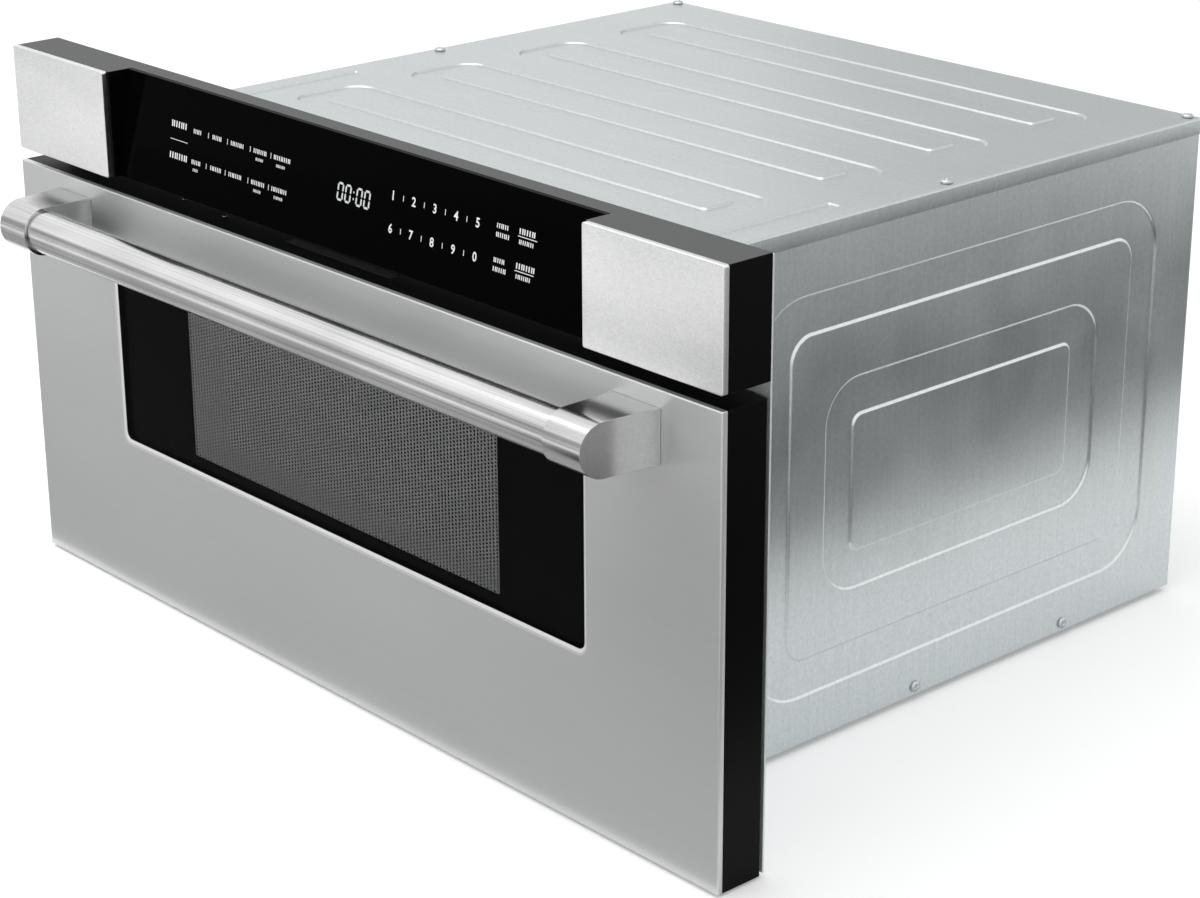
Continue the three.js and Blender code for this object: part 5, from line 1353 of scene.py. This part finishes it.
for node, (material, radius) in SOFTENED.items():
    softened_pieces[node] = softened(node, material, radius, slot_of[node])
fascia = softened_pieces["fascia_body"].data
fascia_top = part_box("fascia_body")[1].z
# The upward faces at the fascia's top take the lighter grey: painted light chosen by facing
fascia.materials.append(textured_abs)
for face in fascia.polygons:
    if face.normal.z > 0.99 and face.center.z > fascia_top - 1 * MM:
        face.material_index = 1
print("softened:", len(SOFTENED), "pieces; slots", sorted(set(slot_of.values())))

# %% [markdown]
# What lies inside the cabinet keeps the model's own meshes and gets the finish of its kind.

# %% Inner parts
PAINTED = {
    "waveguide": rail_steel, "magnetron": inner_aluminium, "transformer_core": rail_steel,
    "transformer_winding": copper_winding, "hv_capacitor": inner_aluminium, "stirrer_motor": rail_steel,
    "stirrer": inner_aluminium, "stirrer_cover": mica_sheet, "cavity_lamp": white_pom,
    "fan_motor": rail_steel, "fan_rotor": inner_abs, "power_board": circuit_board,
    "control_board": circuit_board, "display_module": frame_abs, "drive_motor": inner_aluminium,
    "drive_pinion": white_pom, "drive_rack": white_pom,
}
for node, material in PAINTED.items():
    nodes[node].data.materials.clear()
    nodes[node].data.materials.append(material)
print("painted:", len(PAINTED), "nodes")

# %% [markdown]
# ## Studio
# A plain pale floor and an even white surround, which the camera, metal and glass all see as white. The floor
# glows a little where the camera sees it, so that it isn't greyer than the surround.


# %% Floor and surround
FLOOR_HALF = 12
FLOOR_GLOW = 0.22
WORLD_LIGHT, WORLD_SEEN = 0.75, 1.0


def straight_view(tree):
    """The kinds of a light path, and a value of 1 where the camera looks straight or through glass."""
    path = add_node(tree, "ShaderNodeLightPath").outputs
    kinds = {0: path["Is Camera Ray"], 1: path["Is Transmission Ray"]}
    return path, add_node(tree, "ShaderNodeMath", kinds, operation="MAXIMUM").outputs[0]


def studio_sheet(name, finish, corners):
    """A flat sheet of the studio and the tree of its new material."""
    bm = bmesh.new()
    bm.faces.new([bm.verts.new(corner) for corner in corners])
    material = bpy.data.materials.new(finish)
    sheet = add_object(name, mesh_from(name, bm))
    sheet.data.materials.append(material)
    return sheet, emptied_tree(material)


def studio_floor():
    half = FLOOR_HALF
    corners = [(-half, -half, 0), (half, -half, 0), (half, half, 0), (-half, half, 0)]
    floor, tree = studio_sheet("floor", "pale_floor_paper", corners)
    paper = add_node(tree, "ShaderNodeBsdfDiffuse", {"Color": linear("#F4F4F4")})
    lift = add_node(tree, "ShaderNodeMath", {0: straight_view(tree)[1], 1: FLOOR_GLOW}, operation="MULTIPLY")
    glow = add_node(tree, "ShaderNodeEmission", {"Color": (1, 1, 1, 1), "Strength": lift.outputs[0]})
    both = add_node(tree, "ShaderNodeAddShader", {0: paper.outputs[0], 1: glow.outputs[0]})
    add_node(tree, "ShaderNodeOutputMaterial", {"Surface": both.outputs[0]})


def studio_world(plain, bright):
    """A world that lights at one strength and is seen, straight or mirrored, at another."""
    world = bpy.data.worlds.new("studio")
    tree = emptied_tree(world)
    path, straight = straight_view(tree)
    seen = add_node(tree, "ShaderNodeMath", {0: straight, 1: path["Is Glossy Ray"]}, operation="MAXIMUM")
    strength = add_node(tree, "ShaderNodeMapRange", {0: seen.outputs[0], 3: plain, 4: bright})
    light = add_node(tree, "ShaderNodeBackground", {"Color": (1, 1, 1, 1), "Strength": strength.outputs[0]})
    add_node(tree, "ShaderNodeOutputWorld", {"Surface": light.outputs[0]})
    bpy.context.scene.world = world


studio_floor()
studio_world(WORLD_LIGHT, WORLD_SEEN)
print("floor and surround ready")

# %% [markdown]
# One large soft lamp above and a weaker one at the left give the faces their different tones. The lamps are
# large, so shadows stay soft. The left one isn't mirrored, so it leaves no patch of its own on the bar.


# %% Lamps
def soft_lamp(name, place, target, size, power, mirrored=True):
    data = bpy.data.lights.new(name, "AREA")
    data.shape = "RECTANGLE"
    data.size, data.size_y = size
    data.energy = power
    lamp = add_object(name, data)
    lamp.location = place
    lamp.rotation_euler = (Vector(target) - Vector(place)).to_track_quat("-Z", "Y").to_euler()
    lamp.visible_glossy = mirrored
    return lamp


soft_lamp("softbox_above", (-0.3, -0.6, 2.6), (0, 0, 0.2), (2.6, 2.6), 28)
soft_lamp("softbox_left", (-2.0, -0.6, 1.75), (0, -0.3, 0.25), (1.3, 1.3), 13, mirrored=False)
print("lamps:", len(bpy.data.lights))

# %% [markdown]
# Polished metal shows what stands round it. Cards that nothing else sees give each face its tone, as a
# photographer props them up: grey ones before the front and to its left, a bright one high at the left for
# the top of the bar, a black flag for the bar's dark streak, and grey ones beside and behind for the side and
# the lid.


# %% Cards
def lying(height, *corners):
    return [(x, y, height) for x, y in corners]


def standing(start, stop, low, high):
    return [(*start, low), (*stop, low), (*stop, high), (*start, high)]


def studio_card(name, level, corners):
    """A plain card that only mirror-like surfaces see."""
    card, tree = studio_sheet(name, name, corners)
    tone = add_node(tree, "ShaderNodeEmission", {"Color": (level, level, level, 1)})
    add_node(tree, "ShaderNodeOutputMaterial", {"Surface": tone.outputs[0]})
    card.visible_camera = card.visible_diffuse = card.visible_transmission = card.visible_shadow = False


FRONT_LEFT = ((-3.6, -3.6), (-0.6, -3.6), (-0.6, -1.7), (-2.2, -1.7), (-2.2, -0.6), (-3.6, -0.6))
CARDS = [
    ("card_front", 0.44, lying(0.004, (-1.5, -0.86), (0.6, -0.86), (0.6, -0.27), (-1.5, -0.27))),
    ("card_front_wall", 0.4, standing((-3.6, -1.5), (-0.9, -3.7), 0.3, 1.1)),
    ("card_front_left", 0.42, lying(0.004, *FRONT_LEFT)),
    ("card_high_left", 1.2, standing((-2.0, -1.2), (-2.0, -0.6), 1.4, 2.05)),
    ("card_flag", 0.01, lying(0.006, (-0.36, -0.9), (-0.02, -0.52), (0.7, -0.52), (0.7, -0.9))),
    ("card_right", 0.06, lying(0.01, (0.5, -0.45), (0.9, -0.45), (0.9, 1.3), (0.5, 1.1))),
    ("card_far_right", 0.36, lying(0.01, (0.9, -0.45), (1.7, -0.45), (1.7, 1.8), (0.9, 1.3))),
    ("card_behind", 0.68, standing((-2.68, 2.97), (-0.35, 3.98), 0, 3)),
]
for name, level, corners in CARDS:
    studio_card(name, level, corners)
bpy.context.scene.view_settings.view_transform = "Standard"
print("studio ready, with", len(CARDS), "cards")
